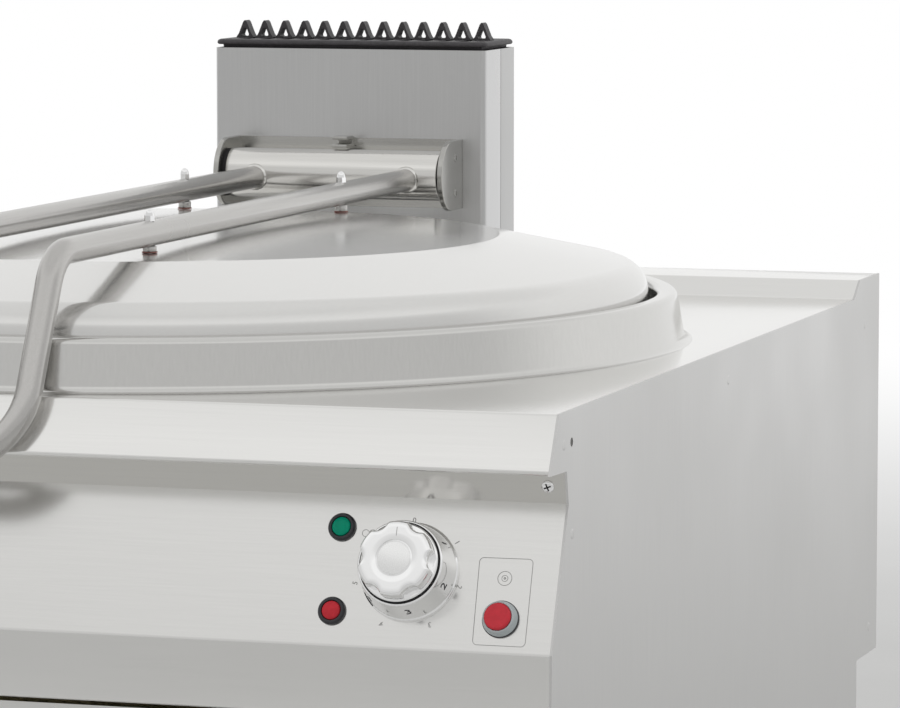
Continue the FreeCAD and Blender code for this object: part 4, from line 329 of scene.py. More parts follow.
def new_object(name, points, faces):
    mesh = bpy.data.meshes.new(name)
    mesh.from_pydata([tuple(p) for p in points], [], faces)
    return linked(name, mesh)


def join(name, parts):
    """One object from several, whose own objects go."""
    whole = bmesh.new()
    for part in parts:
        whole.from_mesh(part.data)
    mesh = bpy.data.meshes.new(name)
    whole.to_mesh(mesh)
    whole.free()
    for part in parts:
        bpy.data.objects.remove(part)
    return linked(name, mesh)


def carve(obj, tools):
    """Cuts tools out of obj and removes them."""
    for tool in tools:
        step = obj.modifiers.new("cut", "BOOLEAN")
        step.operation = "DIFFERENCE"
        step.object = tool
        step.solver = "EXACT"
    bpy.context.view_layer.update()
    graph = bpy.context.evaluated_depsgraph_get()
    mesh = bpy.data.meshes.new_from_object(obj.evaluated_get(graph))
    obj.modifiers.clear()
    obj.data = mesh
    for tool in tools:
        bpy.data.objects.remove(tool)
    return obj


def corner_arc(before, corner, after, radius, steps):
    """Points of the arc that rounds a corner of a line in two dimensions."""
    a = (Vector(before) - Vector(corner))
    b = (Vector(after) - Vector(corner))
    half = a.angle(b) / 2
    if radius <= 0 or half > math.radians(89.5):
        return [Vector(corner)]
    trim = min(radius / math.tan(half), 0.49 * a.length, 0.49 * b.length)
    radius = trim * math.tan(half)
    a.normalize()
    b.normalize()
    centre = Vector(corner) + (a + b).normalized() * (radius / math.sin(half))
    start = Vector(corner) + a * trim - centre
    end = Vector(corner) + b * trim - centre
    turn = start.angle_signed(end)
    points = []
    for step in range(steps + 1):
        angle = -turn * step / steps
        points.append(centre + Vector((start.x * math.cos(angle) - start.y * math.sin(angle),
                                       start.x * math.sin(angle) + start.y * math.cos(angle))))
    return points


def rounded(points, radii, steps=6, closed=False):
    """A line with its corners rounded. radii is one number, or one for each point."""
    count = len(points)
    radii = radii if isinstance(radii, (list, tuple)) else [radii] * count
    line = []
    for index in range(count):
        if not closed and index in (0, count - 1):
            line.append(Vector(points[index]))
            continue
        line += corner_arc(points[index - 1], points[index], points[(index + 1) % count], radii[index], steps)
    return line


def offset(line, distance):
    """The line moved to the right of its direction of travel."""
    moved = []
    for index, point in enumerate(line):
        before = (point - line[index - 1]).normalized() if index else None
        after = (line[index + 1] - point).normalized() if index < len(line) - 1 else None
        before = before or after
        after = after or before
        normal_a = Vector((before.y, -before.x))
        normal_b = Vector((after.y, -after.x))
        middle = (normal_a + normal_b).normalized()
        moved.append(point + middle * (distance / max(0.3, middle.dot(normal_a))))
    return moved


def sheet_outline(points, thickness, radii, steps=6):
    outer = rounded(points, radii, steps)
    return outer + offset(outer, thickness)[::-1]


def band(first, second):
    """Faces between two like rings of points, given by their indices."""
    count = len(first)
    return [[first[i], first[(i + 1) % count], second[(i + 1) % count], second[i]] for i in range(count)]


def stacked(name, rings):
    """A solid through a pile of like rings of points, closed at both ends."""
    count = len(rings[0])
    layers = [list(range(level * count, (level + 1) * count)) for level in range(len(rings))]
    faces = [face for low, high in zip(layers, layers[1:]) for face in band(low, high)]
    faces += [layers[0][::-1], layers[-1]]
    return new_object(name, [point for ring in rings for point in ring], faces)


def extruded(name, outline, x0, x1):
    """A closed outline in Y and Z, drawn out along X."""
    return stacked(name, [[place(x, p[0], p[1]) for p in outline] for x in (x0, x1)])


def upright(name, outline, z0, z1):
    """A closed outline in X and Y, drawn out along Z."""
    return stacked(name, [[place(p[0], p[1], z) for p in outline] for z in (z0, z1)])


def turned(name, profile, matrix, segments=96):
    """A closed profile of (radius, height) turned about the local Z axis of a matrix."""
    points, faces = [], []
    count = len(profile)
    for step in range(segments):
        angle = 2 * math.pi * step / segments
        for radius, height in profile:
            point = Vector((radius * math.cos(angle), radius * math.sin(angle), height))
            points.append(matrix @ (point * 0.001))
    for step in range(segments):
        a, b = step * count, (step + 1) % segments * count
        for index in range(count):
            following = (index + 1) % count
            starts_on_axis = profile[index][0] < 1e-6
            ends_on_axis = profile[following][0] < 1e-6
            if starts_on_axis and ends_on_axis:
                continue
            if starts_on_axis:
                faces.append([a + index, b + following, a + following])
            elif ends_on_axis:
                faces.append([a + index, b + index, a + following])
            else:
                faces.append([a + index, b + index, b + following, a + following])
    return new_object(name, points, faces)


def spun(name, corners, radii, matrix, segments=96, steps=4):
    """A profile with rounded corners, turned about the local Z axis of a matrix."""
    return turned(name, rounded(corners, radii, steps), matrix, segments)


def upward(x, y, z):
    return Matrix.Translation(place(x, y, z))


def sideways(x, y, z):
    """Local Z along +X."""
    return Matrix.Translation(place(x, y, z)) @ Matrix.Rotation(math.radians(90), 4, "Y")


def forward(x, y, z):
    """Local Z along -Y."""
    return Matrix.Translation(place(x, y, z)) @ Matrix.Rotation(math.radians(90), 4, "X")


def on_panel(across, down, out=0.0):
    """Local X along the panel's width, Y up its slope and Z out of it."""
    point = Vector((across, PANEL_TOP[0], PANEL_TOP[1])) + DOWN * down + OUT * out
    basis = Matrix((Vector((1, 0, 0)), -DOWN, OUT)).transposed().to_4x4()
    return Matrix.Translation(place(*point)) @ basis


def bent_line(points, radii, steps=16):
    """Points and directions along straight runs joined by arcs, in three dimensions."""
    line = [Vector(points[0])]
    for index, radius in enumerate(radii, start=1):
        corner = Vector(points[index])
        back = (Vector(points[index - 1]) - corner).normalized()
        ahead = (Vector(points[index + 1]) - corner).normalized()
        half = back.angle(ahead) / 2
        trim = radius / math.tan(half)
        centre = corner + (back + ahead).normalized() * (radius / math.sin(half))
        start = corner + back * trim - centre
        axis = start.cross(corner + ahead * trim - centre).normalized()
        turn = math.pi - 2 * half
        for step in range(steps + 1):
            line.append(centre + Matrix.Rotation(turn * step / steps, 3, axis) @ start)
    line.append(Vector(points[-1]))
    return line


def swept(name, line, radius, segments):
    """A round bar along a line of points in millimetres."""
    rings = []
    normal = None
    last = len(line) - 1
    for index, point in enumerate(line):
        ahead = line[min(index + 1, last)] - line[max(index - 1, 0)]
        ahead.normalize()
        if normal is None:
            normal = ahead.orthogonal().normalized()
        normal = (normal - ahead * normal.dot(ahead)).normalized()
        side = ahead.cross(normal)
        ring = []
        for step in range(segments):
            angle = 2 * math.pi * step / segments
            away = normal * math.cos(angle) + side * math.sin(angle)
            ring.append(place(*(point + away * radius)))
        rings.append(ring)
    return stacked(name, rings)


def rectangle(x0, x1, y0, y1, radius=0.0, steps=6):
    return rounded([(x0, y0), (x1, y0), (x1, y1), (x0, y1)], radius, steps, closed=True)


def block(name, x0, x1, y0, y1, z0, z1, radius=0.0):
    return upright(name, rectangle(x0, x1, y0, y1, radius), z0, z1)


def circle(radius, segments):
    angles = [2 * math.pi * i / segments for i in range(segments)]
    return [(radius * math.cos(angle), radius * math.sin(angle)) for angle in angles]


def hexagon(radius, start=0):
    angles = [math.radians(60 * i + start) for i in range(6)]
    return [(radius * math.cos(angle), radius * math.sin(angle)) for angle in angles]


def dressed(node, material):
    """Keeps a CAD node and gives it a better material."""
    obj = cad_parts[node]
    obj.data.materials.clear()
    obj.data.materials.append(MATERIALS[material])


make_materials()


# Worktop, strip and control panel

def make_worktop():
    nose, edge = (-396.5, -35.5), (-377, 0)
    ledge = [(418.5, 0), (437.5, 13), (503.5, 13), (503.5, -20)]
    top = sheet_outline([STRIP_TOP, nose, edge] + ledge, 2.0, [0, 2.2, 2.6, 6, 5, 2.5, 0])
    body = extruded("worktop_visible", top, -INNER_HALF, INNER_HALF)
    hole = upright("worktop_hole_tool", circle(353, 192), -6, 6)
    gap = 0.5
    flue = block("worktop_flue_tool", -FLUE_HALF - gap, FLUE_HALF + gap, FLUE_FRONT - gap, FLUE_REAR + gap,
                 -30, 30)
    carve(body, [hole, flue])
    finish_mesh(body, "worktop", "cabinet", ["worktop"], smooth=25)


def make_strip():
    lines = sheet_outline([(STRIP_TOP[0], -34.5), STRIP_TOP, PANEL_TOP], -PANEL_SHEET, [0, 0.5, 0])
    body = extruded("strip_visible", lines, -INNER_HALF, INNER_HALF)
    finish_mesh(body, "strip", "cabinet", ["front_strip"], smooth=25)


def make_control_panel():
    corners = [PANEL_TOP, CREASE, (-393, -187), (-377, -187)]
    lines = sheet_outline(corners, -PANEL_SHEET, [0, 5, 1.8, 0], steps=10)
    body = extruded("control_panel_visible", lines, -INNER_HALF, INNER_HALF)
    finish_mesh(body, "control", "cabinet", ["control_panel"], smooth=25)


# Collar and lid

def make_collar():
    """A fillet out of the worktop, a wall that leans in, and a rolled top; the foot dips into the steel."""
    foot_reach = 371.4
    outer = rounded([(381, -0.16), (366.3, 0.12), (360.4, 34), (346, 34), (346, 14)],
                    [0, 6.0, 5.0, 5.5, 0], steps=10)
    outer = [p for p in outer if p[0] <= foot_reach]
    inner = rounded([(348, 14), (348, 32), (358.6, 32), (364.0, -0.10)], [0, 3.5, 3, 0], steps=4)
    ring = turned("collar_visible", outer + inner, upward(0, 0, 0), segments=256)
    finish_mesh(ring, "collar", "cabinet", ["collar"], smooth=40)


def make_lid():
    """A shallow crown, a crease, a cone and a wide round edge above a plain rim."""
    crease, edge = (237.4, 71.8), (340.5, 50.2)
    fall = LID_TOP - crease[1]
    crown_r = (crease[0] ** 2 + fall ** 2) / (2 * fall)
    crown_steps = 24
    crown = []
    for step in range(crown_steps + 1):
        r = crease[0] * step / crown_steps
        crown.append(Vector((r, LID_TOP - crown_r + math.sqrt(crown_r ** 2 - r ** 2))))
    bend = corner_arc(crown[-2], crease, edge, 5.0, 4)
    turn = corner_arc(crease, edge, (341.0, 16.0), 21.0, 16)
    foot = [(340.9, 18.0), (341.0, 15.4), (340.4, 14.5), (339.5, 14.35), (338.9, 15.0), (339.0, 18.0)]
    outer = [p for p in crown if p.x < bend[0].x - 0.2] + bend + turn
    sheet = 1.5
    under = offset(outer, sheet)
    under[0] = Vector((0.0, LID_TOP - sheet))
    shell = turned("lid_visible", outer + foot + under[::-1], upward(0, 0, 0), segments=256)
    finish_mesh(shell, "lid", "lid", ["lid_shell"], smooth=30)


# Handle and hinge

HANDLE_TURN_R = 49.4


def handle_points():
    lean = math.radians(27.5)
    leg = 92.0
    down = Vector((0, -math.sin(lean), -math.cos(lean)))
    start = Vector((ARM_X, HINGE_Y - 14, ARM_Z))
    bend = Vector((ARM_X, -343.0, ARM_Z))
    corner = bend + down * (leg + HANDLE_TURN_R)
    right = [start, bend, corner]
    left = [Vector((-p.x, p.y, p.z)) for p in reversed(right)]
    return right + left


def make_handle():
    line = bent_line(handle_points(), [34.0, HANDLE_TURN_R, HANDLE_TURN_R, 34.0], steps=18)
    tube = swept("handle_visible", line, TUBE_R, segments=40)
    finish_mesh(tube, "tube", "lid", ["handle_tube"], smooth=60)
    profile = [(8.3, -3.0), (9.8, -1.0), (10.2, 0.4), (9.6, 1.8), (8.6, 3.0), (8.3, 3.2)]
    for side, x in (("left", -ARM_X), ("right", ARM_X)):
        bead = turned("weld_bead_" + side, profile, forward(x, HINGE_Y - 17.5, ARM_Z), segments=48)
        wobble_ring(bead, 0.22)
        finish_mesh(bead, "hinge", "lid", smooth=80)


def wobble_ring(obj, size):
    """Small even ripples, as the passes of a weld leave."""
    centre = sum((v.co for v in obj.data.vertices), Vector()) / len(obj.data.vertices)
    for vertex in obj.data.vertices:
        away = vertex.co - centre
        angle = math.atan2(away.z, away.x)
        ripple = math.sin(17 * angle) + 0.6 * math.sin(29 * angle + 1.3)
        vertex.co.y += ripple * size / 1000
        vertex.co += Vector((away.x, 0, away.z)).normalized() * (ripple * size * 0.5 / 1000)


def make_hinge():
    half = 85.0
    axis = sideways(0, HINGE_Y, HINGE_Z)
    tube = spun("hinge_tube_visible", [(16, -half), (19, -half), (19, half), (16, half)], [0, 0.8, 0.8, 0],
                axis, steps=3)
    finish_mesh(tube, "hinge", "lid", ["hinge_tube"], smooth=40)
    # Dark rings fill the gaps between the tube's ends and the cheeks: painted shade.
    shadows = []
    for start in (-88.0, 85.1):
        end = start + 2.9
        shadows.append(turned("gap", [(10, start), (18.1, start), (18.1, end), (10, end)], axis, segments=64))
    finish_mesh(join("hinge_gap_painted_shade", shadows), "painted_shade", "cabinet", smooth=30)

    low, high = HINGE_Z - CHEEK_R, HINGE_Z + CHEEK_R
    outer_x = CHEEK_INNER + CHEEK_SHEET
    cheek = []
    for step in range(33):
        angle = math.radians(90 + 180 * step / 32)
        cheek.append((HINGE_Y + CHEEK_R * math.cos(angle), HINGE_Z + CHEEK_R * math.sin(angle)))
    cheek += [(417.5, low), (417.5, high)]
    parts = [extruded("cheek", cheek, x0, x1) for x0, x1 in ((-outer_x, -CHEEK_INNER), (CHEEK_INNER, outer_x))]
    cheeks = join("hinge_cheeks_visible", parts)
    finish_mesh(cheeks, "bracket", "cabinet", smooth=30, bevel=0.7)
    plate = extruded("hinge_back_plate", [(416, low), (419, low), (419, high), (416, high)], -outer_x, outer_x)
    clip = [(395, 108.0), (410, 108.0), (417, 109.5), (417, 114.9), (410, 116.8), (396, 116.8), (396, 114.3),
            (408, 114.3), (410, 112.6), (408, 110.8), (395, 110.8)]
    clip = rounded(clip, [0.4, 3, 1, 1, 3, 0.6, 0.6, 2, 0.5, 2, 0.6], 3, closed=True)
    bracket = join("hinge_bracket_visible", [plate, extruded("tab", clip, -5.8, 5.8)])
    finish_mesh(bracket, "bracket", "cabinet", ["hinge_bracket"], smooth=30, bevel=0.4)


def cross_bars(name, matrix, radius, low, high, half):
    """Two crossed bars in the recess of a screw's head."""
    reach = radius * 0.6
    corners = ((-reach, -half), (reach, -half), (reach, half), (-reach, half))
    bars = []
    for turn in (20, 110):
        spin = matrix @ Matrix.Rotation(math.radians(turn), 4, "Z")
        rings = [[spin @ (Vector((x, y, z)) * 0.001) for x, y in corners] for z in (low, high)]
        bars.append(stacked(name, rings))
    return bars


def screw_head(name, matrix, radius=4.0, height=2.0):
    """A domed head with a cross recess."""
    dome = []
    for step in range(1, 8):
        angle = step * math.pi / 16
        dome.append((radius * math.sin(angle), height * (0.25 + 0.75 * math.cos(angle))))
    profile = [(0, height)] + dome + [(radius, height * 0.2), (radius * 0.95, 0), (0, 0)]
    head = turned(name, profile, matrix, segments=32)
    return carve(head, cross_bars("recess", matrix, radius, height * 0.35, height * 1.3, 0.5))


def make_screws():
    heads, cheek_heads, shades = [], [], []
    strip_slope = math.atan2(PANEL_TOP[0] - STRIP_TOP[0], STRIP_TOP[1] - PANEL_TOP[1])
    drop = 10.0
    lean = Matrix.Rotation(math.pi / 2 + strip_slope, 4, "X")
    for side in (-1, 1):
        spot = place(side * 387.5, STRIP_TOP[0] + drop * math.tan(strip_slope), STRIP_TOP[1] - drop)
        matrix = Matrix.Translation(spot) @ lean
        heads.append(screw_head("head", matrix))
        # Dark bars sit inside each cross recess: painted shade.
        shades += cross_bars("shade", matrix, 4.0, 0.8, 1.1, 0.45)
        for level in (-1, 1):
            turn = Matrix.Rotation(math.radians(90 * side), 4, "Y")
            spot = place(side * (CHEEK_INNER + CHEEK_SHEET), HINGE_Y + 9, HINGE_Z + level * 13.5)
            cheek_heads.append(screw_head("head", Matrix.Translation(spot) @ turn, 3.6, 0.5))
    screws = join("machine_screws_visible", heads)
    finish_mesh(screws, "chrome", "cabinet", ["machine_screws"], smooth=35)
    finish_mesh(join("cheek_screws_visible", cheek_heads), "bracket", "cabinet", smooth=35)
    finish_mesh(join("screw_recess_painted_shade", shades), "painted_shade", "cabinet", smooth=30)


def make_studs():
    """Four studs that hold the handle off the lid, on washers that follow the lid's fall."""
    shoulders, washers, nuts = [], [], []
    washer_height = 0.8
    dome_foot = 97.9
    dome = [(0, 102.4)]
    for step in range(1, 9):
        angle = step * math.pi / 16
        dome.append((3.1 * math.sin(angle), dome_foot + 4.5 * math.cos(angle)))
    dome.append((0, dome_foot))
    for x in (-ARM_X, ARM_X):
        for y, foot in STUDS:
            at = upward(x, y, 0)
            corners = [(x + a, y + b) for a, b in hexagon(3.6)]
            seat = foot + washer_height
            shoulders.append(spun("shoulder", [(0, seat), (4.6, seat), (4.6, 77.7), (0, 77.7)],
                                  [0, 0.4, 0.3, 0], at, segments=40, steps=2))
            shank = [(0, foot - 9.6), (1.9, foot - 9.6), (1.9, 99), (0, 99)]
            shoulders.append(turned("shank", shank, at, segments=24))
            shoulders.append(upright("inner_nut", corners, foot - 8.3, foot - 5.1))
            washers.append(spun("washer", [(2.2, foot), (5.2, foot), (5.2, seat), (2.2, seat)],
                                [0, 0.2, 0.2, 0], at, segments=40, steps=2))
            nuts.append(upright("nut_hexagon", corners, 94.2, dome_foot))
            nuts.append(turned("nut_dome", dome, at, segments=32))
    studs = join("lid_studs_visible", shoulders)
    finish_mesh(studs, "tube", "lid", ["lid_studs"], smooth=40)
    rings = join("stud_washers_visible", washers)
    finish_mesh(rings, "washer", "lid", ["stud_washers"], smooth=40)
    caps = join("dome_nuts_visible", nuts)
    finish_mesh(caps, "chrome", "lid", ["dome_nuts"], smooth=40)


# Flue column and grille

def make_flue():
    joint = 459
    front = rounded([(-FLUE_HALF, joint), (-FLUE_HALF, FLUE_FRONT), (FLUE_HALF, FLUE_FRONT), (FLUE_HALF, joint)],
                    4.5, steps=8)
    cover = upright("flue_front_visible", front + offset(front, -PANEL_SHEET)[::-1], FLUE_LOW, FLUE_TOP)
    finish_mesh(cover, "flue", "cabinet", ["flue_front"], smooth=25)
    joint = 459.8
    back = rounded([(FLUE_HALF, joint), (FLUE_HALF, FLUE_REAR), (-FLUE_HALF, FLUE_REAR), (-FLUE_HALF, joint)],
                   2.5, steps=6)
    channel = upright("flue_back_visible", back + offset(back, -PANEL_SHEET)[::-1], FLUE_LOW, FLUE_TOP)
    finish_mesh(channel, "flue_side", "cabinet", ["flue_back"], smooth=25)


def make_grille():
    """Cast grille: a plate with a round edge on a smaller foot, and a row of teeth with holes."""
    middle, pitch = 458.0, 16.15
    slots = [block("slot", x - 3.2, x + 3.2, 428, 488, FLUE_TOP - 2, FLUE_TOP + 9, radius=2.0)
             for x in [(index - 5.5) * pitch for index in range(12)]]
    layers = [(5.0, 0.1), (4.6, 2.3), (1.0, 2.5), (0.2, 3.2), (0.0, 4.1), (0.3, 5.1), (1.2, 6.0), (2.6, 6.5)]
    rings = []
    for inset, height in layers:
        ring = rectangle(-FLUE_HALF + inset, FLUE_HALF - inset, FLUE_FRONT + inset, FLUE_REAR - inset,
                         max(1.0, 7.0 - inset))
        rings.append([place(p.x, p.y, FLUE_TOP + height) for p in ring])
    plate = stacked("grille_plate", rings)
    carve(plate, [join("slots", slots)])
    finish_mesh(plate, "cast", "cabinet", ["flue_grille"], smooth=50)

    outer = [(-8.0, 5.8), (8.0, 5.8), (5.2, 9.6), (1.6, 18.6), (0, 20.7), (-1.6, 18.6), (-5.2, 9.6)]
    outer_radii = [1.0, 1.0, 7.0, 2.5, 1.6, 2.5, 7.0]
    inner = [(-3.9, 7.6), (3.9, 7.6), (1.3, 14.2), (-1.3, 14.2)]
    inner_radii = [1.5, 1.5, 1.2, 1.2]
    teeth = []
    for index in range(13):
        x = (index - 6) * pitch - 0.5
        rings = [rounded([(x + a, FLUE_TOP + b) for a, b in corners], radii, steps=5, closed=True)
                 for corners, radii in ((outer, outer_radii), (inner, inner_radii))]
        teeth.append(ring_prism("tooth", *rings, middle - 4.8, middle + 4.8))
    finish_mesh(join("grille_teeth", teeth), "cast", "cabinet", smooth=40, bevel=0.9)


def ring_prism(name, outer, inner, y0, y1):
    """An outline in X and Z with a hole of another outline, drawn out along Y."""
    points = [place(p[0], y, p[1]) for y in (y0, y1) for p in outer + inner]
    hole, layer = len(outer), len(outer) + len(inner)
    faces = band(range(hole), range(layer, layer + hole))
    faces += band(range(layer + hole, 2 * layer), range(hole, layer))
    for base in (0, layer):
        faces += bridge(outer, inner, base, base + hole)
    return new_object(name, points, faces)


def bridge(outer, inner, first, second):
    """Faces between two rings, matched by their direction from the middle of the hole."""
    centre = sum((Vector(p) for p in inner), Vector((0, 0))) / len(inner)

    def heading(p):
        away = Vector(p) - centre
        return math.atan2(away.y, away.x) % (2 * math.pi)

    def around(ring):
        """The ring's points in the order of their headings, and the heading after each."""
        order = sorted(range(len(ring)), key=lambda i: heading(ring[i]))
        turns = [heading(ring[i]) for i in order]
        return order, turns[1:] + [turns[0] + 2 * math.pi]

    order_a, next_a = around(outer)
    order_b, next_b = around(inner)
    a, b = len(order_a), len(order_b)
    faces = []
    i = j = 0
    while i < a or j < b:
        here_a, here_b = first + order_a[i % a], second + order_b[j % b]
        if j >= b or (i < a and next_a[i] <= next_b[j]):
            faces.append([here_a, first + order_a[(i + 1) % a], here_b])
            i += 1
        else:
            faces.append([here_a, second + order_b[(j + 1) % b], here_b])
            j += 1
    return faces


# Controls

def number(name, digit, matrix, size, thickness=0.00012):
    curve = bpy.data.curves.new(name, "FONT")
    curve.body = digit
    curve.align_x = "CENTER"
    curve.align_y = "CENTER"
    curve.size = size / 1000
    curve.extrude = thickness
    curve.resolution_u = 4
    text = linked(name, curve)
    text.matrix_world = matrix
    bpy.context.view_layer.update()
    graph = bpy.context.evaluated_depsgraph_get()
    mesh = bpy.data.meshes.new_from_object(text.evaluated_get(graph))
    mesh.transform(matrix)
    bpy.data.objects.remove(text)
    return linked(name, mesh)


def flat_ring(matrix, radius, width):
    inner, outer = radius - width / 2, radius + width / 2
    low, high = -0.02, 0.12
    return turned("icon", [(inner, low), (outer, low), (outer, high), (inner, high)], matrix, segments=48)


def make_knob():
    base = on_panel(*KNOB_AT)
    foot, top = (29.9, 3.6), (26.9, 23.0)
    profile = [(9.5, 0.1), (31, 0.1), (31, 2.6), foot, top, (25.6, 23.6), (25.6, 4), (9.5, 4)]
    dial = spun("dial_ring_visible", profile, [0, 0.3, 0.8, 0.8, 1.0, 0.4, 0, 0], base, segments=160)
    finish_mesh(dial, "chrome", "cabinet", ["knob_dial_ring"], smooth=30)

    marks = []
    cone = math.atan2(foot[0] - top[0], top[1] - foot[1])
    height = 13.0
    radius = foot[0] - (height - foot[1]) * math.tan(cone) + 0.02
    lean = Matrix.Rotation(-(math.pi / 2 - cone), 4, "X")
    for digit in range(5):
        turn = Matrix.Rotation(DIAL_STEP * digit, 4, "Z")
        at = turn @ Matrix.Translation(Vector((0, radius, height)) / 1000) @ lean
        marks.append(number("digit", str(digit), base @ at @ Matrix.Rotation(math.pi, 4, "Z"), 9.0))
    digits = join("dial_numbers", marks)
    finish_mesh(digits, "ink", "cabinet", smooth=20)

    profile = [(0, 12), (24.6, 12), (24.6, 25.0), (23.9, 25.6), (0, 25.6)]
    skirt = spun("knob_skirt", profile, [0, 0, 0.2, 0.3, 0], base, segments=160, steps=3)
    finish_mesh(skirt, "chrome", "regulator_knob", smooth=30)
    # A dark ring fills the gap between the knob's skirt and the dial ring: painted shade.
    gap = turned("knob_gap_painted_shade", [(24.65, 13), (25.55, 13), (25.55, 22.6), (24.65, 22.6)], base)
    finish_mesh(gap, "painted_shade", "cabinet", smooth=30)
    make_knob_cap(base)


def make_knob_cap(base):
    """The grip with its finger hollows, the hollow in its face, the round plate and the pointer."""
    segments = 192
    angles = [2 * math.pi * step / segments for step in range(segments)]
    rim = [scalloped(angle) for angle in angles]

    def ring(radii, height):
        return [base @ (Vector((r * math.sin(angle), r * math.cos(angle), height)) / 1000)
                for r, angle in zip(radii, angles)]

    edge = [(1.0, 24.4), (1.0, 25.0), (1.0, 33.4), (0.985, 34.7), (0.955, 35.55), (0.91, 35.95), (0.87, 36.0),
            (0.80, 36.0)]
    face = [(15.5, 36.0), (12.0, 36.0), (11.6, 35.9), (11.3, 35.1), (10.8, 35.1), (10.4, 35.4), (2.0, 35.4)]
    rings = [ring([radius * share for radius in rim], height) for share, height in edge]
    rings += [ring([radius] * segments, height) for radius, height in face]
    cap = stacked("knob_visible", rings)
    finish_mesh(cap, "chrome", "regulator_knob", ["knob"], smooth=38)
    profile = [(0, 35.2), (10.3, 35.2), (10.3, 35.75), (0, 35.85)]
    plate = spun("knob_plate", profile, [0, 0, 0.3, 0], base, segments=64, steps=3)
    finish_mesh(plate, "satin", "regulator_knob", smooth=30)

    half, near, far = 0.18, 13.8, 19.2
    rings = []
    for near_z, far_z in ((35.8, 35.9), (36.04, 36.08)):
        corners = ((-half, near, near_z), (half, near, near_z), (half, far, far_z), (-half, far, far_z))
        rings.append([base @ (Vector(corner) / 1000) for corner in corners])
    pointer = stacked("knob_pointer", rings)
    finish_mesh(pointer, "faint_ink", "regulator_knob", smooth=20)


def scalloped(angle):
    """Knob's radius in a direction, with round finger hollows."""
    pitch = math.pi / 3
    away = (angle - pitch / 2) % pitch
    away = min(away, pitch - away)
    reach, hollow, full = 28.6, 8.0, 23.6
    inside = hollow ** 2 - (reach * math.sin(away)) ** 2
    if inside <= 0:
        return full
    cut = reach * math.cos(away) - math.sqrt(inside)
    soft = 1.0
    blend = math.log(math.exp(-cut / soft) + math.exp(-full / soft))
    return min(full, -soft * blend + 0.25)


def make_lamps():
    holders = []
    for colour, down in (("green", 20.5), ("red", 73.4)):
        base = on_panel(LAMP_ACROSS, down)
        bezel = [(6.1, 0.05), (8.8, 0.05), (8.8, 1.6), (7.8, 3.0), (6.4, 3.0), (6.1, 2.2)]
        holders.append(spun("bezel", bezel, [0, 0.3, 0.8, 0.6, 0.4, 0], base, segments=64))
        holders.append(turned("lamp_body", [(0, -24), (6.3, -24), (6.3, 0.4), (0, 0.4)], base, segments=48))
        dome = [(0, 3.6), (2.0, 3.58), (3.9, 3.5), (5.05, 3.35), (5.65, 3.0), (5.9, 2.4), (5.9, 1.0), (0, 1.0)]
        lens = turned(colour + "_lens_visible", dome, base, segments=64)
        finish_mesh(lens, colour, "cabinet", [colour + "_lens"], smooth=50)
    bezels = join("lamp_holders_visible", holders)
    finish_mesh(bezels, "black", "cabinet", ["lamp_holders"], smooth=35)


def make_button():
    base = on_panel(*BUTTON_AT)
    seal = turned("button_seal", [(9, 0.02), (11.6, 0.02), (11.6, 1.0), (11.0, 1.5), (9, 1.5)], base, segments=64)
    finish_mesh(seal, "black", "cabinet", smooth=35)
    profile = [(8.6, 0.6), (11.0, 0.6), (11.1, 1.8), (9.8, 6.6), (9.1, 7.5), (8.6, 7.0)]
    ring = spun("button_ring_visible", profile, [0, 0.2, 0.6, 0.8, 0.4, 0], base, segments=80)
    finish_mesh(ring, "grey", "cabinet", ["button_ring"], smooth=35)
    profile = [(0, -1), (8.4, -1), (8.4, 8.2), (7.4, 9.0), (0, 8.6)]
    cap = spun("button_cap_visible", profile, [0, 0, 0.5, 0.9, 0], base, segments=80, steps=5)
    stem = turned("stem", [(0, -16), (3, -16), (3, -0.9), (0, -0.9)], base, segments=32)
    whole = join("push_button_visible", [cap, stem])
    finish_mesh(whole, "button", "push_button", ["push_button"], smooth=35)


def panel_line(name, corners, radius, width):
    """A thin closed line printed on the panel, given across and down."""
    line = rounded([(a, -b) for a, b in corners], radius, steps=6, closed=True)
    middle_x = sum(p.x for p in line) / len(line)
    middle_y = sum(p.y for p in line) / len(line)
    inner = []
    count = len(line)
    for index, point in enumerate(line):
        ahead = (line[(index + 1) % count] - line[index - 1]).normalized()
        normal = Vector((ahead.y, -ahead.x))
        if normal.dot(Vector((middle_x, middle_y)) - point) < 0:
            normal = -normal
        inner.append(point + normal * width)
    points = [on_panel(p.x, -p.y, height).translation for height in (0.02, 0.12) for p in line + inner]
    low_out, low_in, high_out, high_in = [range(layer * count, (layer + 1) * count) for layer in range(4)]
    faces = band(high_out, high_in) + band(low_out, high_out) + band(high_in, low_in) + band(low_in, low_out)
    return new_object(name, points, faces)


def make_prints():
    marks = [panel_line("frame", [(347.7, 35.4), (381.9, 35.2), (382.7, 90.1), (349.2, 90.1)], 3.0, 0.35)]
    for radius, width in ((4.4, 0.35), (1.9, 0.3), (0.5, 0.5)):
        marks.append(flat_ring(on_panel(365.1, 48), radius, width))
    for across in (273.4, 277.9):
        marks.append(flat_ring(on_panel(across, 23.5), 2.2, 0.3))
    scale = ((303.6, 14.2), (332.3, 27), (336.8, 54.5), (321, 78.9), (290.4, 80), (270.6, 55.2))
    for digit, (across, down) in enumerate(scale):
        turn = Matrix.Rotation(DIAL_STEP * digit, 4, "Z")
        marks.append(number("mark", str(digit), on_panel(across, down, 0.05) @ turn, 4.6, thickness=0.00008))
    prints = join("panel_marks", marks)
    finish_mesh(prints, "faint_ink", "cabinet", smooth=20)


# Tap, feet and the solids that stay

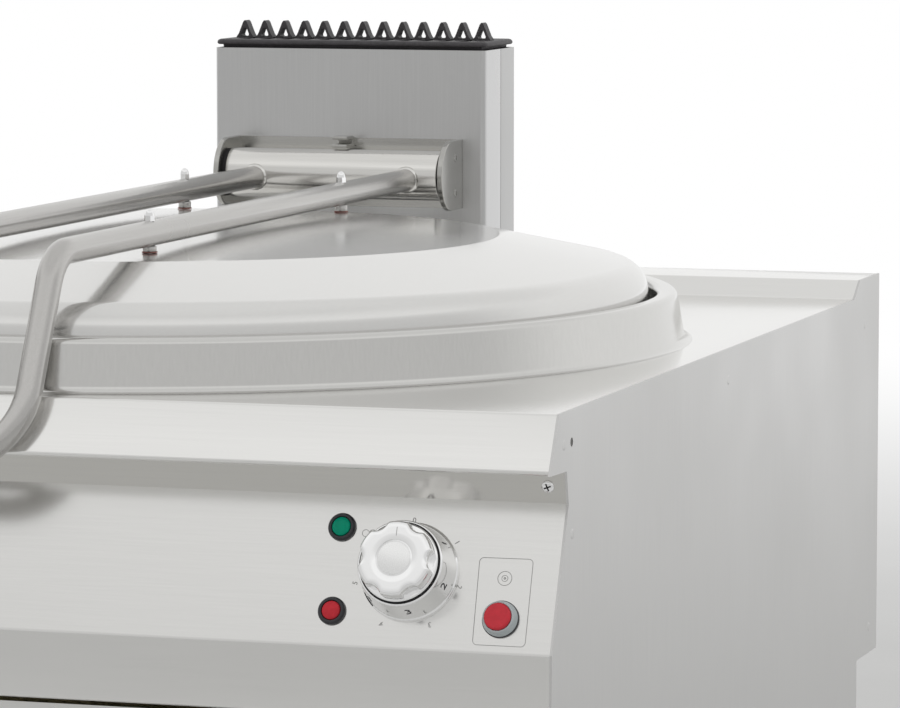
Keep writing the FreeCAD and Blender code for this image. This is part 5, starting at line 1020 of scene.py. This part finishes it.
def make_tap():
    axis = upward(0, TAP_Y, 0)
    barrel = [(25.1, -450.5), (30, -450.5), (30, -458), (28, -461), (28, -468), (30, -472), (30, -552), (27, -562),
              (27, -586), (26, -590), (22, -590), (22, -541), (25.1, -539)]
    body = spun("tap_barrel", barrel, [0, 1, 1, 1, 1, 3, 4, 3, 1, 0.5, 0, 0, 0], axis)
    flange = [(22, 0), (38, 0), (38, 6), (29, 7.5), (27, 12), (27, 20), (22, 20)]
    neck = spun("tap_neck", flange, [0, 0.8, 1.5, 2, 2, 0, 0], forward(0, FRONT_PANEL_Y, DRAIN_Z))
    whole = join("drain_tap_visible", [body, neck])
    finish_mesh(whole, "tap", "cabinet", ["drain_valve_body"], smooth=35)
    flats = [(x, TAP_Y + y) for x, y in hexagon(29.5, 30)]
    nut = upright("tap_nut", rounded(flats, 2.0, 4, closed=True), -450, -442.2)
    carve(nut, [upright("bore", [(x, TAP_Y + y) for x, y in circle(8.3, 48)], -460, -430)])
    finish_mesh(nut, "tap", "cabinet", ["drain_valve_nut"], smooth=30, bevel=0.8)
    hub = [(0, -424), (12.2, -424), (13, -430), (13, -436), (8.0, -436), (8.0, -441.8), (0, -441.8)]
    hub = spun("lever_hub", hub, [0, 2, 2, 1, 0, 0, 0], axis, segments=64)
    arm = rounded([(5, -424), (72, -423), (72, -413), (5, -412)], 3, 4, closed=True)
    lever = join("drain_lever_visible", [hub, upright("lever_arm", arm, -433, -427)])
    finish_mesh(lever, "tap", "tap_plug", ["drain_lever"], smooth=30, bevel=0.8)
    grip = [(0, 0), (5.5, 0), (7.6, 4), (8.6, 22), (9, 44), (8.2, 57), (5, 60), (0, 60)]
    grip = spun("drain_grip_visible", grip, [0, 2, 4, 8, 8, 3, 2, 0], sideways(55, TAP_Y, -430),
                segments=64, steps=5)
    finish_mesh(grip, "black", "tap_plug", ["drain_grip"], smooth=50)


def make_feet():
    profile = [(0, FLOOR_Z), (28, FLOOR_Z), (30, -898), (30, -893.5), (26, -890), (24.5, -886), (22.9, -884),
               (22.9, -805), (0, -805)]
    radii = [0, 1.5, 1.5, 2, 3, 1, 0.5, 0.5, 0]
    for end, y in (("front", -305), ("rear", 365)):
        for side, x in (("left", -335), ("right", 335)):
            node = "foot_%s_%s" % (end, side)
            foot = spun(node + "_visible", profile, radii, upward(x, y, 0), segments=80)
            finish_mesh(foot, "foot", node, [node], smooth=35)


STAYING = {
    "side_panel_left": "side", "side_panel_right": "side", "front_panel": "front", "back_panel": "back",
    "base_panel": "back", "frame": "frame", "leg_sleeves": "foot", "pot": "pot", "drain_strainer": "pot",
    "jacket": "pot", "insulation": "wool", "heating_elements": "frame", "element_cover": "frame",
    "drain_pipe": "pot", "drain_plug": "brass", "vent_pipe": "pot", "safety_valve": "brass", "fill_pipe": "pot",
    "water_valve": "brass", "cable_gland": "black", "hinge_axle": "frame", "hinge_bushes": "bronze",
    "balance_spring": "spring", "regulator_shaft": "frame", "energy_regulator": "grey", "button_switch": "black",
    "button_spring": "spring", "component_plate": "frame", "contactors": "grey", "terminal_block": "beige",
}


# Camera, light and floor

def math_node(tree, operation, first, second):
    made = tree.nodes.new("ShaderNodeMath")
    made.operation = operation
    made.use_clamp = True
    for index, value in enumerate((first, second)):
        if isinstance(value, bpy.types.NodeSocket):
            tree.links.new(value, made.inputs[index])
        else:
            made.inputs[index].default_value = value
    return made.outputs["Value"]


def white_rays(tree, behind):
    """1 for rays of the eye, and behind the object also for reflections and rays through glass."""
    path = tree.nodes.new("ShaderNodeLightPath")
    bounced = math_node(tree, "MAXIMUM", path.outputs["Is Glossy Ray"], path.outputs["Is Transmission Ray"])
    behind_bounced = math_node(tree, "MULTIPLY", bounced, behind)
    return math_node(tree, "MAXIMUM", path.outputs["Is Camera Ray"], behind_bounced)


def levels(tree, value, stops):
    """Grey levels along a value from 0 to 1."""
    made = tree.nodes.new("ShaderNodeValToRGB")
    ramp = made.color_ramp
    while len(ramp.elements) < len(stops):
        ramp.elements.new(0.5)
    for element, (position, level) in zip(ramp.elements, stops):
        element.position = position
        element.color = (level, level, level * 0.995, 1)
    tree.links.new(value, made.inputs["Fac"])
    return made.outputs["Color"]


def between(tree, value, low, high):
    made = tree.nodes.new("ShaderNodeMapRange")
    made.interpolation_type = "SMOOTHSTEP"
    made.inputs["From Min"].default_value = low
    made.inputs["From Max"].default_value = high
    tree.links.new(value, made.inputs["Value"])
    return made.outputs["Result"]


def make_floor():
    """A pale floor that keeps the shadow near the object and is the white background far away."""
    reach = 60
    corners = [(-reach, -reach, 0), (reach, -reach, 0), (reach, reach, 0), (-reach, reach, 0)]
    floor = new_object("floor", corners, [[0, 1, 2, 3]])
    paint = Shader("floor_look", (0.62, 0.62, 0.615), 0.0, 0.8)
    paint.tint(paint.noise(3.0), 0.985, 1.015)
    tree = paint.tree
    spot = tree.nodes.new("ShaderNodeTexCoord")
    away = tree.nodes.new("ShaderNodeVectorMath")
    away.operation = "LENGTH"
    tree.links.new(spot.outputs["Object"], away.inputs[0])
    far = between(tree, away.outputs["Value"], 3.5, 9.0)
    split = tree.nodes.new("ShaderNodeSeparateXYZ")
    tree.links.new(spot.outputs["Object"], split.inputs["Vector"])
    behind = between(tree, split.outputs["Y"], 0.0, 3.0)
    white = tree.nodes.new("ShaderNodeEmission")
    white.inputs["Strength"].default_value = 1.0
    mix = tree.nodes.new("ShaderNodeMixShader")
    tree.links.new(math_node(tree, "MULTIPLY", far, white_rays(tree, behind)), mix.inputs["Fac"])
    tree.links.new(paint.shader.outputs["BSDF"], mix.inputs[1])
    tree.links.new(white.outputs["Emission"], mix.inputs[2])
    tree.links.new(mix.outputs["Shader"], tree.nodes["Material Output"].inputs["Surface"])
    floor.data.materials.append(paint.material)


def make_camera():
    sensor, photo_width, focal = 36.0, 900.0, 5021.0
    camera = bpy.data.cameras.new("camera")
    camera.sensor_width = sensor
    camera.lens = focal / photo_width * sensor
    camera.clip_start = 0.05
    camera.clip_end = 100.0
    view = linked("camera", camera)
    yaw, pitch = math.radians(17.41), math.radians(5.83)
    ahead = Vector((-math.sin(yaw) * math.cos(pitch), math.cos(yaw) * math.cos(pitch), -math.sin(pitch)))
    view.location = place(1233.6, -3254.9, 342.3)
    view.rotation_euler = ahead.to_track_quat("-Z", "Y").to_euler()
    bpy.context.scene.camera = view


def make_world():
    """A studio: white behind the object, grey room before it, a soft ceiling. The eye sees white."""
    world = bpy.data.worlds.new("studio")
    bpy.context.scene.world = world
    world.use_nodes = True
    tree = world.node_tree
    tree.nodes.clear()
    direction = tree.nodes.new("ShaderNodeTexCoord")
    split = tree.nodes.new("ShaderNodeSeparateXYZ")
    tree.links.new(direction.outputs["Generated"], split.inputs["Vector"])
    rise = math_node(tree, "MAXIMUM", split.outputs["Z"], 0.0)
    front = levels(tree, rise, [(0.0, 0.68), (0.40, 0.68), (0.53, 0.76), (0.60, 0.94), (0.67, 0.93),
                                (0.79, 0.87), (0.90, 0.78), (1.0, 0.82)])
    back = levels(tree, rise, [(0.0, 0.94), (0.25, 0.94), (0.50, 0.93), (0.65, 0.84), (0.80, 0.80), (1.0, 0.86)])
    room = tree.nodes.new("ShaderNodeMix")
    room.data_type = "RGBA"
    tree.links.new(between(tree, split.outputs["Y"], 0.0, 0.6), room.inputs[0])
    tree.links.new(front, room.inputs[6])
    tree.links.new(back, room.inputs[7])
    sky = tree.nodes.new("ShaderNodeBackground")
    tree.links.new(room.outputs[2], sky.inputs["Color"])
    white = tree.nodes.new("ShaderNodeBackground")
    white.inputs["Color"].default_value = (1, 1, 1, 1)
    mix = tree.nodes.new("ShaderNodeMixShader")
    path = tree.nodes.new("ShaderNodeLightPath")
    tree.links.new(path.outputs["Is Camera Ray"], mix.inputs["Fac"])
    tree.links.new(sky.outputs["Background"], mix.inputs[1])
    tree.links.new(white.outputs["Background"], mix.inputs[2])
    out = tree.nodes.new("ShaderNodeOutputWorld")
    tree.links.new(mix.outputs["Shader"], out.inputs["Surface"])


def make_lamps_of_the_studio():
    """Wide soft lamps that model the shapes, too soft to be seen as spots in the steel."""
    middle = Vector((0, 0, 0.8))
    for name, at, size, power in (("key", (-1.6, -2.2, 3.0), 2.4, 24.0), ("side", (2.8, -0.6, 2.2), 1.8, 8.0)):
        lamp = bpy.data.lights.new(name, "AREA")
        lamp.shape = "SQUARE"
        lamp.size = size
        lamp.energy = power
        holder = linked(name, lamp)
        holder.location = at
        holder.rotation_euler = (middle - Vector(at)).to_track_quat("-Z", "Y").to_euler()
        holder.visible_glossy = False


make_worktop()
make_strip()
make_control_panel()
make_collar()
make_lid()
make_handle()
make_hinge()
make_screws()
make_studs()
make_flue()
make_grille()
make_knob()
make_lamps()
make_button()
make_prints()
make_tap()
make_feet()
for node, material in STAYING.items():
    dressed(node, material)
make_floor()
make_camera()
make_world()
make_lamps_of_the_studio()
bpy.context.scene.view_settings.view_transform = "Standard"
